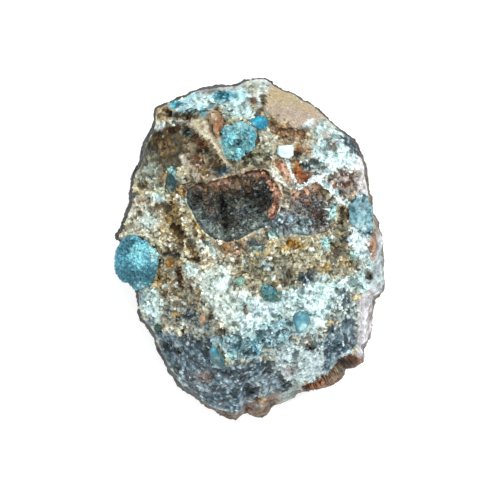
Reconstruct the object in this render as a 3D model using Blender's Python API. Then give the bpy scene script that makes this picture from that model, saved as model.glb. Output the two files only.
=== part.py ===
"""A palm-sized calcite specimen, lying on its trimmed back with the broken face up.

The matrix is one stone: a weathered nodule whose face shows crumbly calcite, smooth
chalcedony plates, ledges and clefts. A deep hollow and a shallow one are each lined by one
crystal crust, and blue, teal, rosy, honey and white crystals sit in sockets of the stone.

X runs across the face, Y along it, Z up. The origin is the middle of the flat back.
"""

import math
import random

import bmesh
import bpy
import numpy as np
from mathutils import Matrix, Vector, noise

MM = 0.001  # metres in a millimetre: every size and place below is in millimetres

# ---------------------------------------------------------------- driving sizes
CROWN_HEIGHT = 30.0  # the face's middle above the surface that the stone lies on
WIDEST_SHARE = 0.6  # the stone is widest at this share of its rim's height
BACK_HALF_WIDTH, BACK_HALF_LENGTH = 21.0, 27.0  # the flat back that it lies on
CROWN_POWER = 2.3  # how late the face falls off towards its rim
WIDEST_DOWN = 0.35  # share of the side, from the rim, that lies above the widest contour
BOWL_STEEPNESS = 3.0  # 2 makes a hollow's wall an ellipse, and more makes it steeper
BOWL_SWELL = 0.8  # how far a hollow's wall swells or dents
CRUST_FADE = (1.0, 0.8)  # a crust thins out between these shares of the way up its wall
CRYSTAL_HEIGHT = (0.1, 0.34)  # a crust crystal's height against the size of its foot
HEADS_ACROSS = 2.6  # rounded heads on an aggregate, about, from its middle to its edge
HEAD_STEEPNESS = 1.6  # how soon a head falls off to the crevice round it
FACET_FOOT = 0.7  # a flat-faced crystal's foot is this share of its outline
FACET_RINGS = [(-0.2, 1.33), (0.55, 1.0), (1.0, 0.65)]  # its levels, and each one's share of the last
SHARP_ANGLE = 30  # edges that turn more than this many degrees stay sharp
FIT_GAP = 0.3  # clear space between the stone and what sits in it
FACET_SOCKET = 1.9  # a flat-footed crystal's round socket is this much deeper than its foot
SOCKET_SLACK = 1.05  # a socket's flat facets cut corners, so it is made this much larger
CUTTER_REACH = 9.0  # how far a socket's cutter stands above the face

STONE_DIVISIONS = 13  # an edge of the first twenty faces is cut into this many
FACE_AREA, SIDE_AREA = 0.7, 0.21  # shares of the ball's area that become face and side

# Smooth relief: how strong it is, how wide its features are, and where its noise starts.
FACE_BLOCKS = (0.75, 6.0, 5.0)
FACE_WAVES = [(0.7, 5.0, 11.0), (0.6, 2.6, 47.0)]
SKIN_DENTS = [(0.9, 9.0, 3.0), (0.5, 4.0, 29.0)]
BOWL_WAVES = (0.7, 5.0)
BLOCK_TILT = 1.2  # how much a broken block leans
PLATE_CALM = 0.85  # share of the relief that the chalcedony plate lacks
SKIN_DEPTH = 0.7  # the skin lies this far inside the outline, on average
RIM_DENTS = 0.3  # share of the dents above the widest contour
GRAIN_FADE = (1.0, 0.93)  # the face's relief starts between these shares of the way to its rim

# The stone seen from above, anticlockwise from its right-hand end.
OUTLINE = [
    (33.3, 0.0), (32.9, 2.5), (32.4, 6.5), (31.5, 8.5), (30.6, 9.5), (30.2, 12.5), (29.6, 15.8),
    (29.0, 19.2), (29.1, 20.8), (28.2, 22.6), (27.2, 25.2), (26.2, 27.3), (25.2, 28.5), (22.8, 30.0),
    (20.2, 32.5), (17.5, 34.8), (15.6, 36.4), (14.7, 37.2), (13.2, 37.6), (10.6, 39.6), (8.5, 39.9),
    (7.2, 40.8), (5.5, 41.5), (4.9, 42.6), (3.8, 43.0), (1.8, 43.1), (0.0, 42.7), (-1.6, 42.2),
    (-3.0, 41.2), (-6.2, 40.9), (-10.2, 40.7), (-14.2, 39.9), (-16.0, 38.7), (-20.0, 37.1),
    (-23.7, 35.5), (-24.1, 34.5), (-23.9, 32.2), (-24.5, 30.5), (-26.0, 28.2), (-26.9, 26.4),
    (-27.5, 23.2), (-28.1, 21.4), (-29.4, 19.6), (-29.6, 17.6), (-30.1, 13.4), (-30.3, 11.2),
    (-31.4, 9.2), (-32.0, 6.8), (-32.4, 5.0), (-33.4, 4.3), (-33.8, 3.2), (-32.6, 2.0), (-31.2, 0.0),
    (-30.6, -3.0), (-30.0, -6.0), (-29.3, -8.0), (-28.5, -10.5), (-28.4, -12.6), (-28.1, -15.8),
    (-27.3, -17.9), (-25.4, -19.6), (-24.4, -21.4), (-22.3, -26.2),
    (-20.9, -29.2), (-19.0, -32.5), (-16.6, -35.2), (-13.3, -37.2), (-9.8, -40.1), (-5.6, -41.8),
    (-3.9, -42.8), (-3.0, -43.0), (-2.4, -42.0), (-1.4, -41.0), (-0.5, -40.8), (0.4, -41.8),
    (3.6, -41.7), (5.1, -40.6), (5.4, -39.2), (6.4, -38.6), (7.6, -39.0), (9.9, -37.2), (12.4, -35.2),
    (16.2, -34.9), (20.6, -33.8), (22.7, -32.0), (23.8, -30.2), (26.7, -29.0), (28.4, -28.2),
    (28.8, -27.0), (28.4, -25.2), (29.6, -23.4), (30.4, -19.0), (30.6, -15.4), (31.4, -12.8),
    (33.0, -10.4), (33.8, -8.2), (33.1, -6.0), (33.2, -4.2), (33.7, -2.5),
]

# How far the face's edge stands inside the outline, by direction in degrees.
RIM_WIDTHS = [
    (-178, 1.0), (-150, 0.8), (-115, 0.7), (-101, 0.9), (-87, 3.4), (-82, 3.6), (-74, 2.2),
    (-68, 1.2), (-58, 3.0), (-48, 3.6), (-42, 2.4), (-38, 3.2), (-30, 3.6), (-18, 3.2), (-8, 2.8),
    (0, 2.0), (8, 1.4), (20, 0.9), (40, 0.6), (90, 0.5), (130, 0.8), (150, 1.1), (165, 0.9),
]
# The height of the face's edge, by direction in degrees.
RIM_HEIGHTS = [
    (-170, 18.5), (-150, 17), (-130, 15.5), (-100, 14.5), (-80, 15), (-60, 17), (-45, 18.5),
    (-25, 20), (0, 21), (20, 20.5), (45, 19), (65, 20), (90, 23.5), (115, 22.5), (135, 19.5),
    (155, 18.5),
]

# Plates and hollows of the face: name, lift, edge softness, tilt in X, outline.
PLATES = [
    ("tan chalcedony plate", 1.5, 0.5, 0.0, [
        (3, 35.5), (4.5, 38.8), (6, 40.5), (8.5, 39.2), (11.8, 38), (14.8, 36.5), (18, 33.8),
        (20.8, 31.5), (23.8, 28.5), (22.5, 26), (20, 26.8), (17, 28.2), (14, 30.5), (10.5, 30.5),
        (6.5, 32), (4, 33.5)]),
    ("rusty scarp under the plate", -2.0, 0.4, 0.0, [
        (5, 31.6), (7, 31), (10, 30), (13.2, 29.2), (14, 27.2), (12, 26), (8.5, 26.5), (6.2, 27.5),
        (5.2, 29.2)]),
    ("white and blue strip", 1.4, 0.4, 0.0, [
        (-21, 35.8), (-17.5, 37.5), (-13.8, 39.5), (-8.8, 40.2), (-2.5, 40.8), (-0.8, 38.2),
        (-1.8, 35.8), (-5.5, 35), (-9.5, 36), (-11.8, 34.2), (-15, 34.8), (-18.5, 34.5)]),
    ("top knob", 0.9, 0.6, 0.0, [
        (-1.8, 41.5), (1.5, 42.8), (4.5, 42.2), (5.5, 40), (4, 37.8), (1.5, 36.5), (-0.5, 37.5),
        (-2, 39.5)]),
    ("ridge plate", 2.2, 0.4, 0.0, [
        (-15.5, 32.2), (-12.5, 33.2), (-11, 31.6), (-8.8, 27), (-7, 23.5), (-4.2, 20.2), (-6, 19.8),
        (-8, 23), (-10.5, 26), (-13.5, 29)]),
    ("dark facet", -3.2, 0.8, -0.1, [
        (-22.5, 30), (-20.5, 31.3), (-16, 31.5), (-13.5, 29), (-10.5, 25.8), (-8, 22.5),
        (-6.5, 20), (-10, 18.5), (-13.5, 18.5), (-16.5, 20), (-18.5, 22.5), (-21.5, 21.8),
        (-24.5, 21.5), (-25.2, 25), (-24.2, 28)]),
    ("cream fin", 2.4, 0.3, 0.0, [
        (-17.5, 23.2), (-15.5, 21.8), (-13.8, 20), (-12.2, 18.2), (-14.2, 18.5), (-16.5, 19.8)]),
    ("brick red patch", -0.9, 0.4, 0.0, [
        (5, 21.8), (8.5, 22.5), (12.5, 22.5), (17, 21.8), (20.5, 20), (17, 18.2), (14, 16.8),
        (10.5, 16.5), (8.5, 17.5), (6.5, 19.5)]),
    ("mauve patch", -0.8, 0.5, 0.0, [
        (18.8, 18), (22, 19.8), (25, 19), (26, 16), (25, 13.2), (22.5, 13.2), (20, 15.5),
        (18, 16.5)]),
    ("white shelf", 0.7, 0.6, 0.0, [
        (15, 30), (18, 28), (22, 26), (25.5, 25), (28, 21.5), (27, 19.5), (22.5, 20), (18.8, 20.5),
        (15.5, 22.5)]),
    ("white crumbly mass", 1.2, 1.0, 0.0, [
        (-9.5, -3), (-4.5, -5), (0.5, -10.5), (3, -12.5), (8.8, -12), (12.5, -8.8), (20, -7.5),
        (27.5, -3), (30, -8.8), (26.2, -12.5), (21.2, -13.8), (18.8, -18.8), (13.8, -20.5),
        (10, -18), (5, -19.5), (0, -20.8), (-6.2, -21), (-9.5, -18.8), (-9, -13.8), (-12.5, -10),
        (-16.2, -8.8), (-16.2, -3)]),
    ("dark apron", -1.8, 1.3, 0.0, [
        (-25, -22), (-18.8, -23), (-11.2, -23.8), (-9.5, -28.8), (-6.2, -30.5), (-1.2, -29),
        (5, -27), (7.5, -30.5), (12.5, -33.8), (11.5, -36.5), (3, -38), (-3, -43), (-12.5, -38.8),
        (-18.8, -33.8), (-22.5, -26.2)]),
]

# Ridges and clefts: name, half width, lift, the line that each follows.
RIDGES = [
    ("notch under the strip", 1.1, -1.9, [(-20.5, 33.8), (-18.5, 33.4), (-16, 33.2), (-13, 32.8)]),
    ("cream ridge", 0.8, 1.2, [(4, 21.5), (5.5, 19.8), (7.5, 17), (10, 15)]),
    ("white vein", 0.6, 0.9, [(8.8, 21.8), (9.8, 19.5), (10.8, 17.5)]),
    ("ridge above the hollow", 0.7, 1.0, [(20.8, 19.8), (18, 18.5), (15, 17.2), (12, 15.9)]),
    ("ridge beside the hollow", 0.8, 1.1, [
        (15.5, 17.6), (18, 15.9), (20.4, 13.9), (23, 11.8), (24, 10.2)]),
    ("hollow's lower lip", 0.7, 0.8, [(7.4, 3.6), (12, 2.6), (16, 2.8), (20.5, 3.4)]),
    ("vug's lower lip", 0.6, 0.7, [
        (-15.9, 9.8), (-13.6, 5.2), (-10.4, 2.2), (-5.8, 0.9), (-2, 1.8), (3.2, 4.5), (7, 7.2)]),
    ("upright cleft", 1.0, -2.6, [
        (-18, 6), (-17.5, 3.5), (-17.5, 1), (-18.2, -1.5), (-17.5, -4.5), (-17.2, -7.5),
        (-17.5, -10.2)]),
    ("slanting cleft", 0.8, -2.0, [(-15.2, 1.5), (-14, -0.8), (-12.8, -3.2)]),
    ("crack round the pod", 0.5, -1.1, [
        (-10, -14.5), (-9.7, -18.8), (-10.6, -21.5), (-11.2, -25.5), (-10, -28.9), (-7.2, -30.7),
        (-4.6, -30.4)]),
]

# Small rounded rises and pits: name, centre, half length, half width, turn, lift.
LUMPS = [
    ("slot beside the rhomb", (11.6, 24.2), 1.3, 0.7, 68, -1.8),
    ("ochre cleft", (22.5, 8.2), 2.4, 0.8, 88, -2.2),
    ("ochre sag left of the cleft", (-20, -5.5), 5.0, 2.2, 95, -1.0),
    ("left shoulder", (-25, 11), 7.5, 4.5, 80, 1.2),
    ("shoulder above the ball", (-22.5, 4.5), 4.0, 3.0, 10, 1.0),
    ("block right of the cleft", (-12.5, -6.8), 4.2, 3.2, 20, 1.7),
    ("white boulder", (-8.2, -11.0), 3.2, 2.4, 70, 1.9),
    ("cream boulder", (-1.5, -12.2), 3.0, 2.3, 30, 1.5),
    ("grey boulder", (11, -12.4), 3.4, 2.2, 10, 1.4),
    ("speckled rise", (3.5, -2.2), 6.0, 3.0, -12, 1.5),
    ("ochre rise", (9.5, 0.2), 4.5, 2.2, -10, 1.6),
    ("right shoulder", (25, -1.5), 3.4, 4.8, 0, 0.9),
    ("left lower shoulder", (-24, -13), 3.0, 4.5, -10, 0.9),
    ("saddle under the ball", (-27, -3), 7.0, 7.5, 0, -3.0),
    ("apron rise", (-13, -32), 6.5, 3.5, -35, 0.9),
    ("white toe", (4, -34.5), 5.0, 2.0, 15, 0.9),
    ("brown dimple", (15, -24.2), 1.6, 1.2, 30, -1.1),
    ("toe pit", (-3.8, -35.8), 1.1, 0.9, 60, -1.4),
    ("second toe pit", (-0.4, -35.2), 1.2, 0.9, 120, -1.4),
]

# The mouths of the two hollows.
VUG_MOUTH = [
    (-15.5, 15), (-13.5, 16.2), (-11, 17), (-8.8, 17.2), (-6, 17.8), (-3, 18.5), (0, 19.5), (3, 20),
    (4.5, 19.5), (5.8, 17.8), (7.2, 15.5), (7.9, 13.5), (7.5, 11.2), (6.8, 9.5), (6, 7.8),
    (4.8, 6.5), (2.8, 5.5), (0.5, 4.5), (-1.2, 3.5), (-3.5, 2.4), (-5.8, 2), (-8, 2.4), (-10, 3.5),
    (-11.8, 5), (-13, 6.5), (-13.8, 8.2), (-14.5, 9.8), (-15.5, 11.5), (-15.8, 13.2),
]
HOLLOW_MOUTH = [
    (10.4, 13.6), (12.5, 14.9), (14.6, 16), (16.6, 15.2), (18.2, 13.4), (19.8, 11.2), (19.2, 9.2),
    (20, 6.8), (19.2, 4.6), (16, 3.9), (12, 3.9), (9.4, 4.4), (8.4, 5.8), (9, 8), (9.8, 10.5),
]

# Crystal crusts that line them: name, mouth, depth, lean of the floor, thickness, divisions.
HOLLOWS = [
    ("vug_crust", VUG_MOUTH, 11.4, (-0.6, -1.6), 1.8, 6),
    ("hollow_crust", HOLLOW_MOUTH, 4.4, (0.6, 0.3), 1.0, 4),
]

# Crystals in sockets: name, rise, depth, divisions, its socket's divisions, bump height, outline.
NODULES = [
    ("blue_ball", 4.4, 4.6, 5, 3, 0.08, [
        (-33.2, 0.8), (-32, 2.2), (-30.6, 3.2), (-28.6, 3.6), (-26.6, 2.4), (-24.6, 1.3),
        (-23.4, -0.2), (-22.9, -2.2), (-23.3, -4.6), (-24, -6.9), (-25.4, -8.9), (-27.2, -10),
        (-29.2, -9.6), (-30.4, -8.2), (-32.2, -7.4), (-33.3, -6), (-33.7, -3.6), (-33.6, -1.2)]),
    ("turquoise_cluster", 2.1, 1.8, 5, 3, 0.16, [
        (-6.4, 30.3), (-4.5, 31), (-2.5, 30.8), (-0.8, 30.2), (1, 29.2), (1.5, 27.2), (1, 25.2),
        (-0.5, 24), (-1.8, 22.5), (-3.8, 22.2), (-5.8, 23), (-6.2, 25), (-6.6, 26.5), (-5.9, 28)]),
    ("azure_knob", 1.6, 1.4, 3, 3, 0.08, [
        (-0.2, 32.2), (1.2, 33.2), (3.2, 33), (4.5, 31.8), (4, 30.1), (2.4, 29.9), (0.8, 30.6)]),
    ("green_bead", 1.2, 1.2, 3, 3, 0.12, [
        (-20.8, 20.5), (-19.2, 21), (-18.2, 19.8), (-18, 17.8), (-18.8, 15.8), (-19.5, 14),
        (-20.8, 14.2), (-21, 16.5), (-20.3, 18.5)]),
    ("rosy_crystal", 2.2, 1.3, 3, 3, 0.14, [
        (-10.5, 34), (-9.4, 35), (-7.9, 34.9), (-7, 33.6), (-7.1, 31.5), (-7.3, 29.2), (-7.9, 27.8),
        (-8.7, 28.8), (-9.2, 30.8), (-10.2, 32.2)]),
    ("pale_blue_lump", 1.6, 1.8, 3, 3, 0.12, [
        (25.4, 12.2), (27.2, 12.6), (28.7, 11), (29.2, 9), (29.7, 7), (29.2, 4.6), (28.2, 2.8),
        (26.6, 3.6), (25.1, 5), (24.8, 7.5), (25, 10)]),
    ("teal_lump", 1.1, 1.1, 3, 3, 0.12, [
        (2.8, -8.5), (4, -8), (5.2, -9), (6.6, -9.8), (8, -10.5), (8, -11.8), (6.2, -12.6),
        (4.2, -12.6), (2.9, -11)]),
    ("teal_pod", 1.2, 1.2, 3, 3, 0.05, [
        (-10, -24.5), (-9, -24), (-7.8, -24.8), (-7, -26.2), (-6.5, -27.8), (-6.4, -29.3),
        (-7.8, -29.1), (-9.2, -27.8), (-9.9, -26)]),
    ("teal_bead_1", 0.8, 0.9, 2, 2, 0.05, [
        (-1.3, -7.8), (-2, -6.7), (-3.2, -6.8), (-3.7, -7.9), (-3, -8.8), (-1.9, -8.8)]),
    ("teal_bead_2", 0.7, 0.9, 2, 2, 0.05, [
        (26.7, -7.9), (26.2, -6.9), (25.2, -6.9), (24.8, -7.8), (25.4, -8.8), (26.3, -8.7)]),
    ("teal_bead_3", 0.7, 0.9, 2, 2, 0.05, [
        (-22, -19.3), (-22.7, -18.5), (-23.7, -18.8), (-23.9, -19.8), (-23.2, -20.4), (-22.3, -20.2)]),
]

# Flat-faced crystals: name, rise, depth, outline.
FACETED = [
    ("teal_crystal", 1.5, 1.3, [
        (10.8, -16), (12.2, -15.2), (13.8, -15.8), (14.8, -17.2), (13.5, -18.8), (11.8, -20.9),
        (11.1, -19.2)]),
    ("calcite_rhomb", 1.3, 1.4, [
        (7, 25.4), (8.6, 26), (10.4, 25.3), (10.3, 22.6), (8.8, 21.9), (7.1, 22.6)]),
    ("honey_crystal", 1.3, 1.2, [
        (-13, -17.4), (-12.2, -16), (-10.9, -15.9), (-10.8, -17.6), (-12, -18.4)]),
]

# Colour, roughness and metallic value of each material.
FINISHES = {
    "calcite_matrix": ((0.74, 0.71, 0.64), 0.8),
    "dark_druse": ((0.12, 0.14, 0.15), 0.35),
    "rosy_druse": ((0.30, 0.21, 0.20), 0.5),
    "blue_mineral": ((0.14, 0.45, 0.54), 0.5),
    "azure_mineral": ((0.04, 0.36, 0.56), 0.4),
    "teal_mineral": ((0.16, 0.38, 0.42), 0.45),
    "pale_blue_mineral": ((0.42, 0.62, 0.66), 0.5),
    "rosy_calcite": ((0.48, 0.27, 0.18), 0.45),
    "white_calcite": ((0.88, 0.91, 0.90), 0.35),
    "honey_calcite": ((0.52, 0.32, 0.12), 0.35),
}
MATERIAL_OF = {
    "matrix": "calcite_matrix",
    "vug_crust": "dark_druse",
    "hollow_crust": "rosy_druse",
    "blue_ball": "blue_mineral",
    "turquoise_cluster": "blue_mineral",
    "azure_knob": "azure_mineral",
    "green_bead": "teal_mineral",
    "rosy_crystal": "rosy_calcite",
    "pale_blue_lump": "pale_blue_mineral",
    "teal_lump": "teal_mineral",
    "teal_pod": "teal_mineral",
    "teal_bead_1": "teal_mineral",
    "teal_bead_2": "teal_mineral",
    "teal_bead_3": "teal_mineral",
    "teal_crystal": "teal_mineral",
    "calcite_rhomb": "white_calcite",
    "honey_crystal": "honey_calcite",
}


# ---------------------------------------------------------------- plan geometry
def smooth(low, high, value):
    """0 below low, 1 above high, and a soft step between."""
    t = np.clip((value - low) / (high - low), 0.0, 1.0)
    return t * t * (3.0 - 2.0 * t)


def by_direction(table, degrees):
    """A quantity given at some directions, read at others."""
    angles, values = zip(*sorted(table))
    return np.interp(degrees, angles, values, period=360.0)


def distance_to_line(points, x, y, closed=False):
    """How far each (x, y) lies from a line of straight stretches."""
    ends = points[1:] + points[:1] if closed else points[1:]
    nearest = np.full(np.shape(x), np.inf)
    for (ax, ay), (bx, by) in zip(points, ends):
        dx, dy = bx - ax, by - ay
        t = np.clip(((x - ax) * dx + (y - ay) * dy) / (dx * dx + dy * dy), 0.0, 1.0)
        nearest = np.minimum(nearest, np.hypot(x - ax - t * dx, y - ay - t * dy))
    return nearest


def depth_inside(points, x, y):
    """How deep each (x, y) lies inside an outline, negative outside."""
    crossings = np.zeros(np.shape(x), bool)
    for (ax, ay), (bx, by) in zip(points, points[1:] + points[:1]):
        spans = (ay > y) != (by > y)
        rise = by - ay if by != ay else 1.0
        crossings ^= spans & (x < (bx - ax) * (y - ay) / rise + ax)
    distance = distance_to_line(points, x, y, closed=True)
    return np.where(crossings, distance, -distance)


def middle(points):
    return np.mean(points, axis=0)


def reach(points, centre, angle):
    """An outline's distance from its centre in each direction, in radians."""
    at = np.array(points) - centre
    turns = np.degrees(np.arctan2(at[:, 1], at[:, 0]))
    return by_direction(list(zip(turns, np.hypot(at[:, 0], at[:, 1]))), np.degrees(angle))


def wobble(x, y, z, scale, seed):
    """Smooth noise, about -1 to 1, with features of about scale."""
    return np.array([
        noise.noise(Vector((a / scale + seed, b / scale, c / scale)))
        for a, b, c in zip(x, y, z)
    ])


# ---------------------------------------------------------------- the face
def face_height(x, y):
    """The face's height above the resting surface, without its fine grain."""
    angle = np.arctan2(y, x)
    edge = reach(OUTLINE, (0, 0), angle) - by_direction(RIM_WIDTHS, np.degrees(angle))
    rim = by_direction(RIM_HEIGHTS, np.degrees(angle))
    share = np.clip(np.hypot(x, y) / edge, 0.0, 1.0)
    height = rim + (CROWN_HEIGHT - rim) * (1.0 - share**CROWN_POWER)
    for _, lift, soft, tilt, outline in PLATES:
        mask = smooth(-soft, soft, depth_inside(outline, x, y))
        height = height + mask * (lift + tilt * (x - middle(outline)[0]))
    for _, half_width, lift, line in RIDGES:
        height = height + lift * np.exp(-((distance_to_line(line, x, y) / half_width) ** 2))
    for _, (cx, cy), long, wide, turn, lift in LUMPS:
        cos, sin = math.cos(math.radians(turn)), math.sin(math.radians(turn))
        along = ((x - cx) * cos + (y - cy) * sin) / long
        across = ((y - cy) * cos - (x - cx) * sin) / wide
        height = height + lift * np.exp(-(along**2 + across**2))
    return height


def blocks(x, y, scale, seed):
    """Broken blocks of about scale: each has a level of its own and a slight tilt, about -1 to 1."""
    level_draw, tilt_draw = 31.0, 57.0  # spread the cores, so that each draws its own values
    made = []
    for a, b in zip(x, y):
        at = Vector((a / scale, b / scale, seed))
        core = noise.voronoi(at)[1][0]
        level = 2.0 * noise.cell(core * level_draw) - 1.0
        lean = (noise.cell_vector(core * tilt_draw) - Vector((0.5, 0.5, 0.5))) * BLOCK_TILT
        made.append(level + lean.x * (at.x - core.x) + lean.y * (at.y - core.y))
    return np.array(made)


def face_grain(x, y):
    """Crumbly relief on top of the face's forms, calm on the chalcedony plate."""
    flat = np.zeros(np.shape(x))
    strength, scale, seed = FACE_BLOCKS
    rough = strength * blocks(x, y, scale, seed)
    rough = rough + sum(strong * wobble(x, y, flat, wide, start) for strong, wide, start in FACE_WAVES)
    plate_soft, plate_outline = PLATES[0][2], PLATES[0][4]
    calm = smooth(-plate_soft, plate_soft, depth_inside(plate_outline, x, y))
    return rough * (1.0 - PLATE_CALM * calm)


# ---------------------------------------------------------------- balls as a start
def ball(divisions):
    """A ball of even triangles, and its points as an array of unit vectors."""
    bm = bmesh.new()
    bmesh.ops.create_icosphere(bm, subdivisions=1, radius=1.0)
    bmesh.ops.subdivide_edges(bm, edges=bm.edges, cuts=divisions - 1, use_grid_fill=True)
    bmesh.ops.triangulate(bm, faces=bm.faces)
    points = np.array([vert.co.normalized() for vert in bm.verts])
    return bm, points


def place(bm, x, y, z):
    for vert, *at in zip(bm.verts, x, y, z):
        vert.co = Vector(at) * MM


def add_object(name, bm, cutter=False):
    mesh = bpy.data.meshes.new(name)
    bm.to_mesh(mesh)
    bm.free()
    made = bpy.data.objects.new(name, mesh)
    bpy.context.scene.collection.objects.link(made)
    if cutter:
        made.hide_render = True
        made.display_type = "WIRE"
    else:
        mesh.materials.append(finish(MATERIAL_OF[name]))
        mesh.shade_smooth()
        mesh.set_sharp_from_angle(angle=math.radians(SHARP_ANGLE))
    return made


def finish(name):
    made = bpy.data.materials.get(name)
    if made is None:
        colour, roughness = FINISHES[name]
        made = bpy.data.materials.new(name)
        made.use_nodes = True
        shader = made.node_tree.nodes["Principled BSDF"]
        shader.inputs["Base Color"].default_value = (*colour, 1.0)
        shader.inputs["Roughness"].default_value = roughness
        shader.inputs["Metallic"].default_value = 0.0
    return made


# ---------------------------------------------------------------- the stone
def stone_points(unit):
    """Where each point of a ball goes: its cap to the face, its belt to the side, its foot to the back."""
    angle = np.arctan2(unit[:, 1], unit[:, 0])
    degrees = np.degrees(angle)
    from_top = (1.0 - unit[:, 2]) / 2.0
    face_share = np.sqrt(np.clip(from_top / FACE_AREA, 0.0, 1.0))
    back_share = np.sqrt(np.clip((1.0 - from_top) / (1.0 - FACE_AREA - SIDE_AREA), 0.0, 1.0))
    down = np.clip((from_top - FACE_AREA) / SIDE_AREA, 0.0, 1.0)
    on_face, on_back = face_share < 1.0, back_share < 1.0

    outline = reach(OUTLINE, (0, 0), angle)
    edge = outline - by_direction(RIM_WIDTHS, degrees)
    back = 1.0 / np.hypot(np.cos(angle) / BACK_HALF_WIDTH, np.sin(angle) / BACK_HALF_LENGTH)
    rim = face_height(edge * np.cos(angle), edge * np.sin(angle))
    widest = rim * WIDEST_SHARE
    over = np.clip(down / WIDEST_DOWN, 0.0, 1.0) * math.pi / 2
    under = np.clip((down - WIDEST_DOWN) / (1.0 - WIDEST_DOWN), 0.0, 1.0) * math.pi / 2

    radius = edge + (outline - edge) * np.sin(over) - (outline - back) * (1.0 - np.cos(under))
    height = widest + (rim - widest) * np.cos(over) - widest * np.sin(under)
    dents = skin_dents(radius * np.cos(angle), radius * np.sin(angle), height)
    radius = radius - dents * (RIM_DENTS * np.sin(2.0 * over) + np.sin(2.0 * under))
    radius = np.where(on_face, edge * face_share, np.where(on_back, back * back_share, radius))
    x, y = radius * np.cos(angle), radius * np.sin(angle)
    face = face_height(x, y) + face_grain(x, y) * smooth(*GRAIN_FADE, face_share)
    return x, y, np.where(on_face, face, np.where(on_back, 0.0, height))


def skin_dents(x, y, z):
    """How far the nodule's weathered skin is dented."""
    return SKIN_DEPTH + sum(deep * wobble(x, y, z, wide, start) for deep, wide, start in SKIN_DENTS)


def make_stone():
    bm, unit = ball(STONE_DIVISIONS)
    place(bm, *stone_points(unit))
    flat = [face for face in bm.faces if all(vert.co.z == 0.0 for vert in face.verts)]
    inner = {edge for face in flat for edge in face.edges if all(f in flat for f in edge.link_faces)}
    bmesh.ops.dissolve_limit(bm, angle_limit=0.001, edges=list(inner), verts=[])
    bmesh.ops.triangulate(bm, faces=bm.faces)
    return add_object("matrix", bm)


# ---------------------------------------------------------------- linings of the hollows
def bowl(unit, mouth, depth, lean, inwards):
    """A bowl hung from its mouth: unit's equator is the mouth's edge and both its poles the floor.

    lean moves the floor sideways, and inwards moves the wall in, or out where it is negative.
    """
    cx, cy = middle(mouth)
    angle = np.arctan2(unit[:, 1], unit[:, 0])
    across = np.sqrt(1.0 - np.abs(unit[:, 2]))
    turn = across ** (BOWL_STEEPNESS / 2.0) * math.pi / 2
    out = np.sin(turn) ** (2.0 / BOWL_STEEPNESS)
    down = np.cos(turn).clip(0.0) ** (2.0 / BOWL_STEEPNESS)
    edge = reach(mouth, (cx, cy), angle)
    swell = wobble(unit[:, 0], unit[:, 1], np.abs(unit[:, 2]), *BOWL_WAVES)
    inwards = inwards + BOWL_SWELL * swell * down**0.3
    wide = (edge - inwards) * out
    brim = face_height(cx + edge * np.cos(angle), cy + edge * np.sin(angle))
    centre = face_height(np.array([cx]), np.array([cy]))
    x = cx + wide * np.cos(angle) + lean[0] * down
    y = cy + wide * np.sin(angle) + lean[1] * down
    return x, y, centre + (brim - centre) * across - (depth - inwards) * down


def make_lining(name, mouth, depth, lean, thickness, divisions):
    """A hollow's crust of three-sided crystals, and the cutter for the hollow."""
    bm, unit = ball(divisions)
    above = unit[:, 2] > 0.0
    across = np.sqrt(1.0 - np.abs(unit[:, 2]))
    inwards = np.where(above, thickness * smooth(*CRUST_FADE, across), 0.0)
    lined = [face for face in bm.faces if face.calc_center_median().z > 0.0]
    place(bm, *bowl(unit, mouth, depth, lean, inwards))
    bm.normal_update()
    draw = random.Random(name)
    heights = [draw.uniform(*CRYSTAL_HEIGHT) * math.sqrt(face.calc_area()) for face in lined]
    normals = [face.normal.copy() for face in lined]
    for tip, normal, tall in zip(bmesh.ops.poke(bm, faces=lined)["verts"], normals, heights):
        tip.co += normal * tall
    add_object(name, bm)

    bm, unit = ball(divisions)
    x, y, z = bowl(unit, mouth, depth, lean, np.full(len(unit), -FIT_GAP))
    cx, cy = middle(mouth)
    narrow = np.sqrt(1.0 - unit[:, 2] ** 2)
    angle = np.arctan2(unit[:, 1], unit[:, 0])
    edge = (reach(mouth, (cx, cy), angle) + FIT_GAP) * narrow
    up_x, up_y = cx + edge * np.cos(angle), cy + edge * np.sin(angle)
    above = unit[:, 2] > 0.0
    x, y = np.where(above, up_x, x), np.where(above, up_y, y)
    z = np.where(above, face_height(up_x, up_y) + CUTTER_REACH * unit[:, 2], z)
    place(bm, x, y, z)
    return add_object(name + "_cutter", bm, cutter=True)


# ---------------------------------------------------------------- crystals in sockets
def seated(points, unit, rise, depth, gap):
    """A pebble over an outline: its belt follows the face, its top stands up, its foot sinks in."""
    cx, cy = middle(points)
    angle = np.arctan2(unit[:, 1], unit[:, 0])
    wide = (reach(points, (cx, cy), angle) + gap) * np.hypot(unit[:, 0], unit[:, 1])
    x, y = cx + wide * np.cos(angle), cy + wide * np.sin(angle)
    tall = np.where(unit[:, 2] > 0.0, rise, depth + gap) * unit[:, 2]
    return x, y, face_height(x, y) + tall


def make_nodule(name, rise, depth, divisions, bump, outline):
    """A rounded aggregate with small rounded heads."""
    bm, unit = ball(divisions)
    nearest = [noise.voronoi(Vector(at) * HEADS_ACROSS)[0][0] for at in unit]
    size = 1.0 - bump * np.clip(np.array(nearest) * HEAD_STEEPNESS, 0.0, 1.0)
    place(bm, *seated(outline, unit * size[:, None], rise, depth, 0.0))
    return add_object(name, bm)


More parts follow.
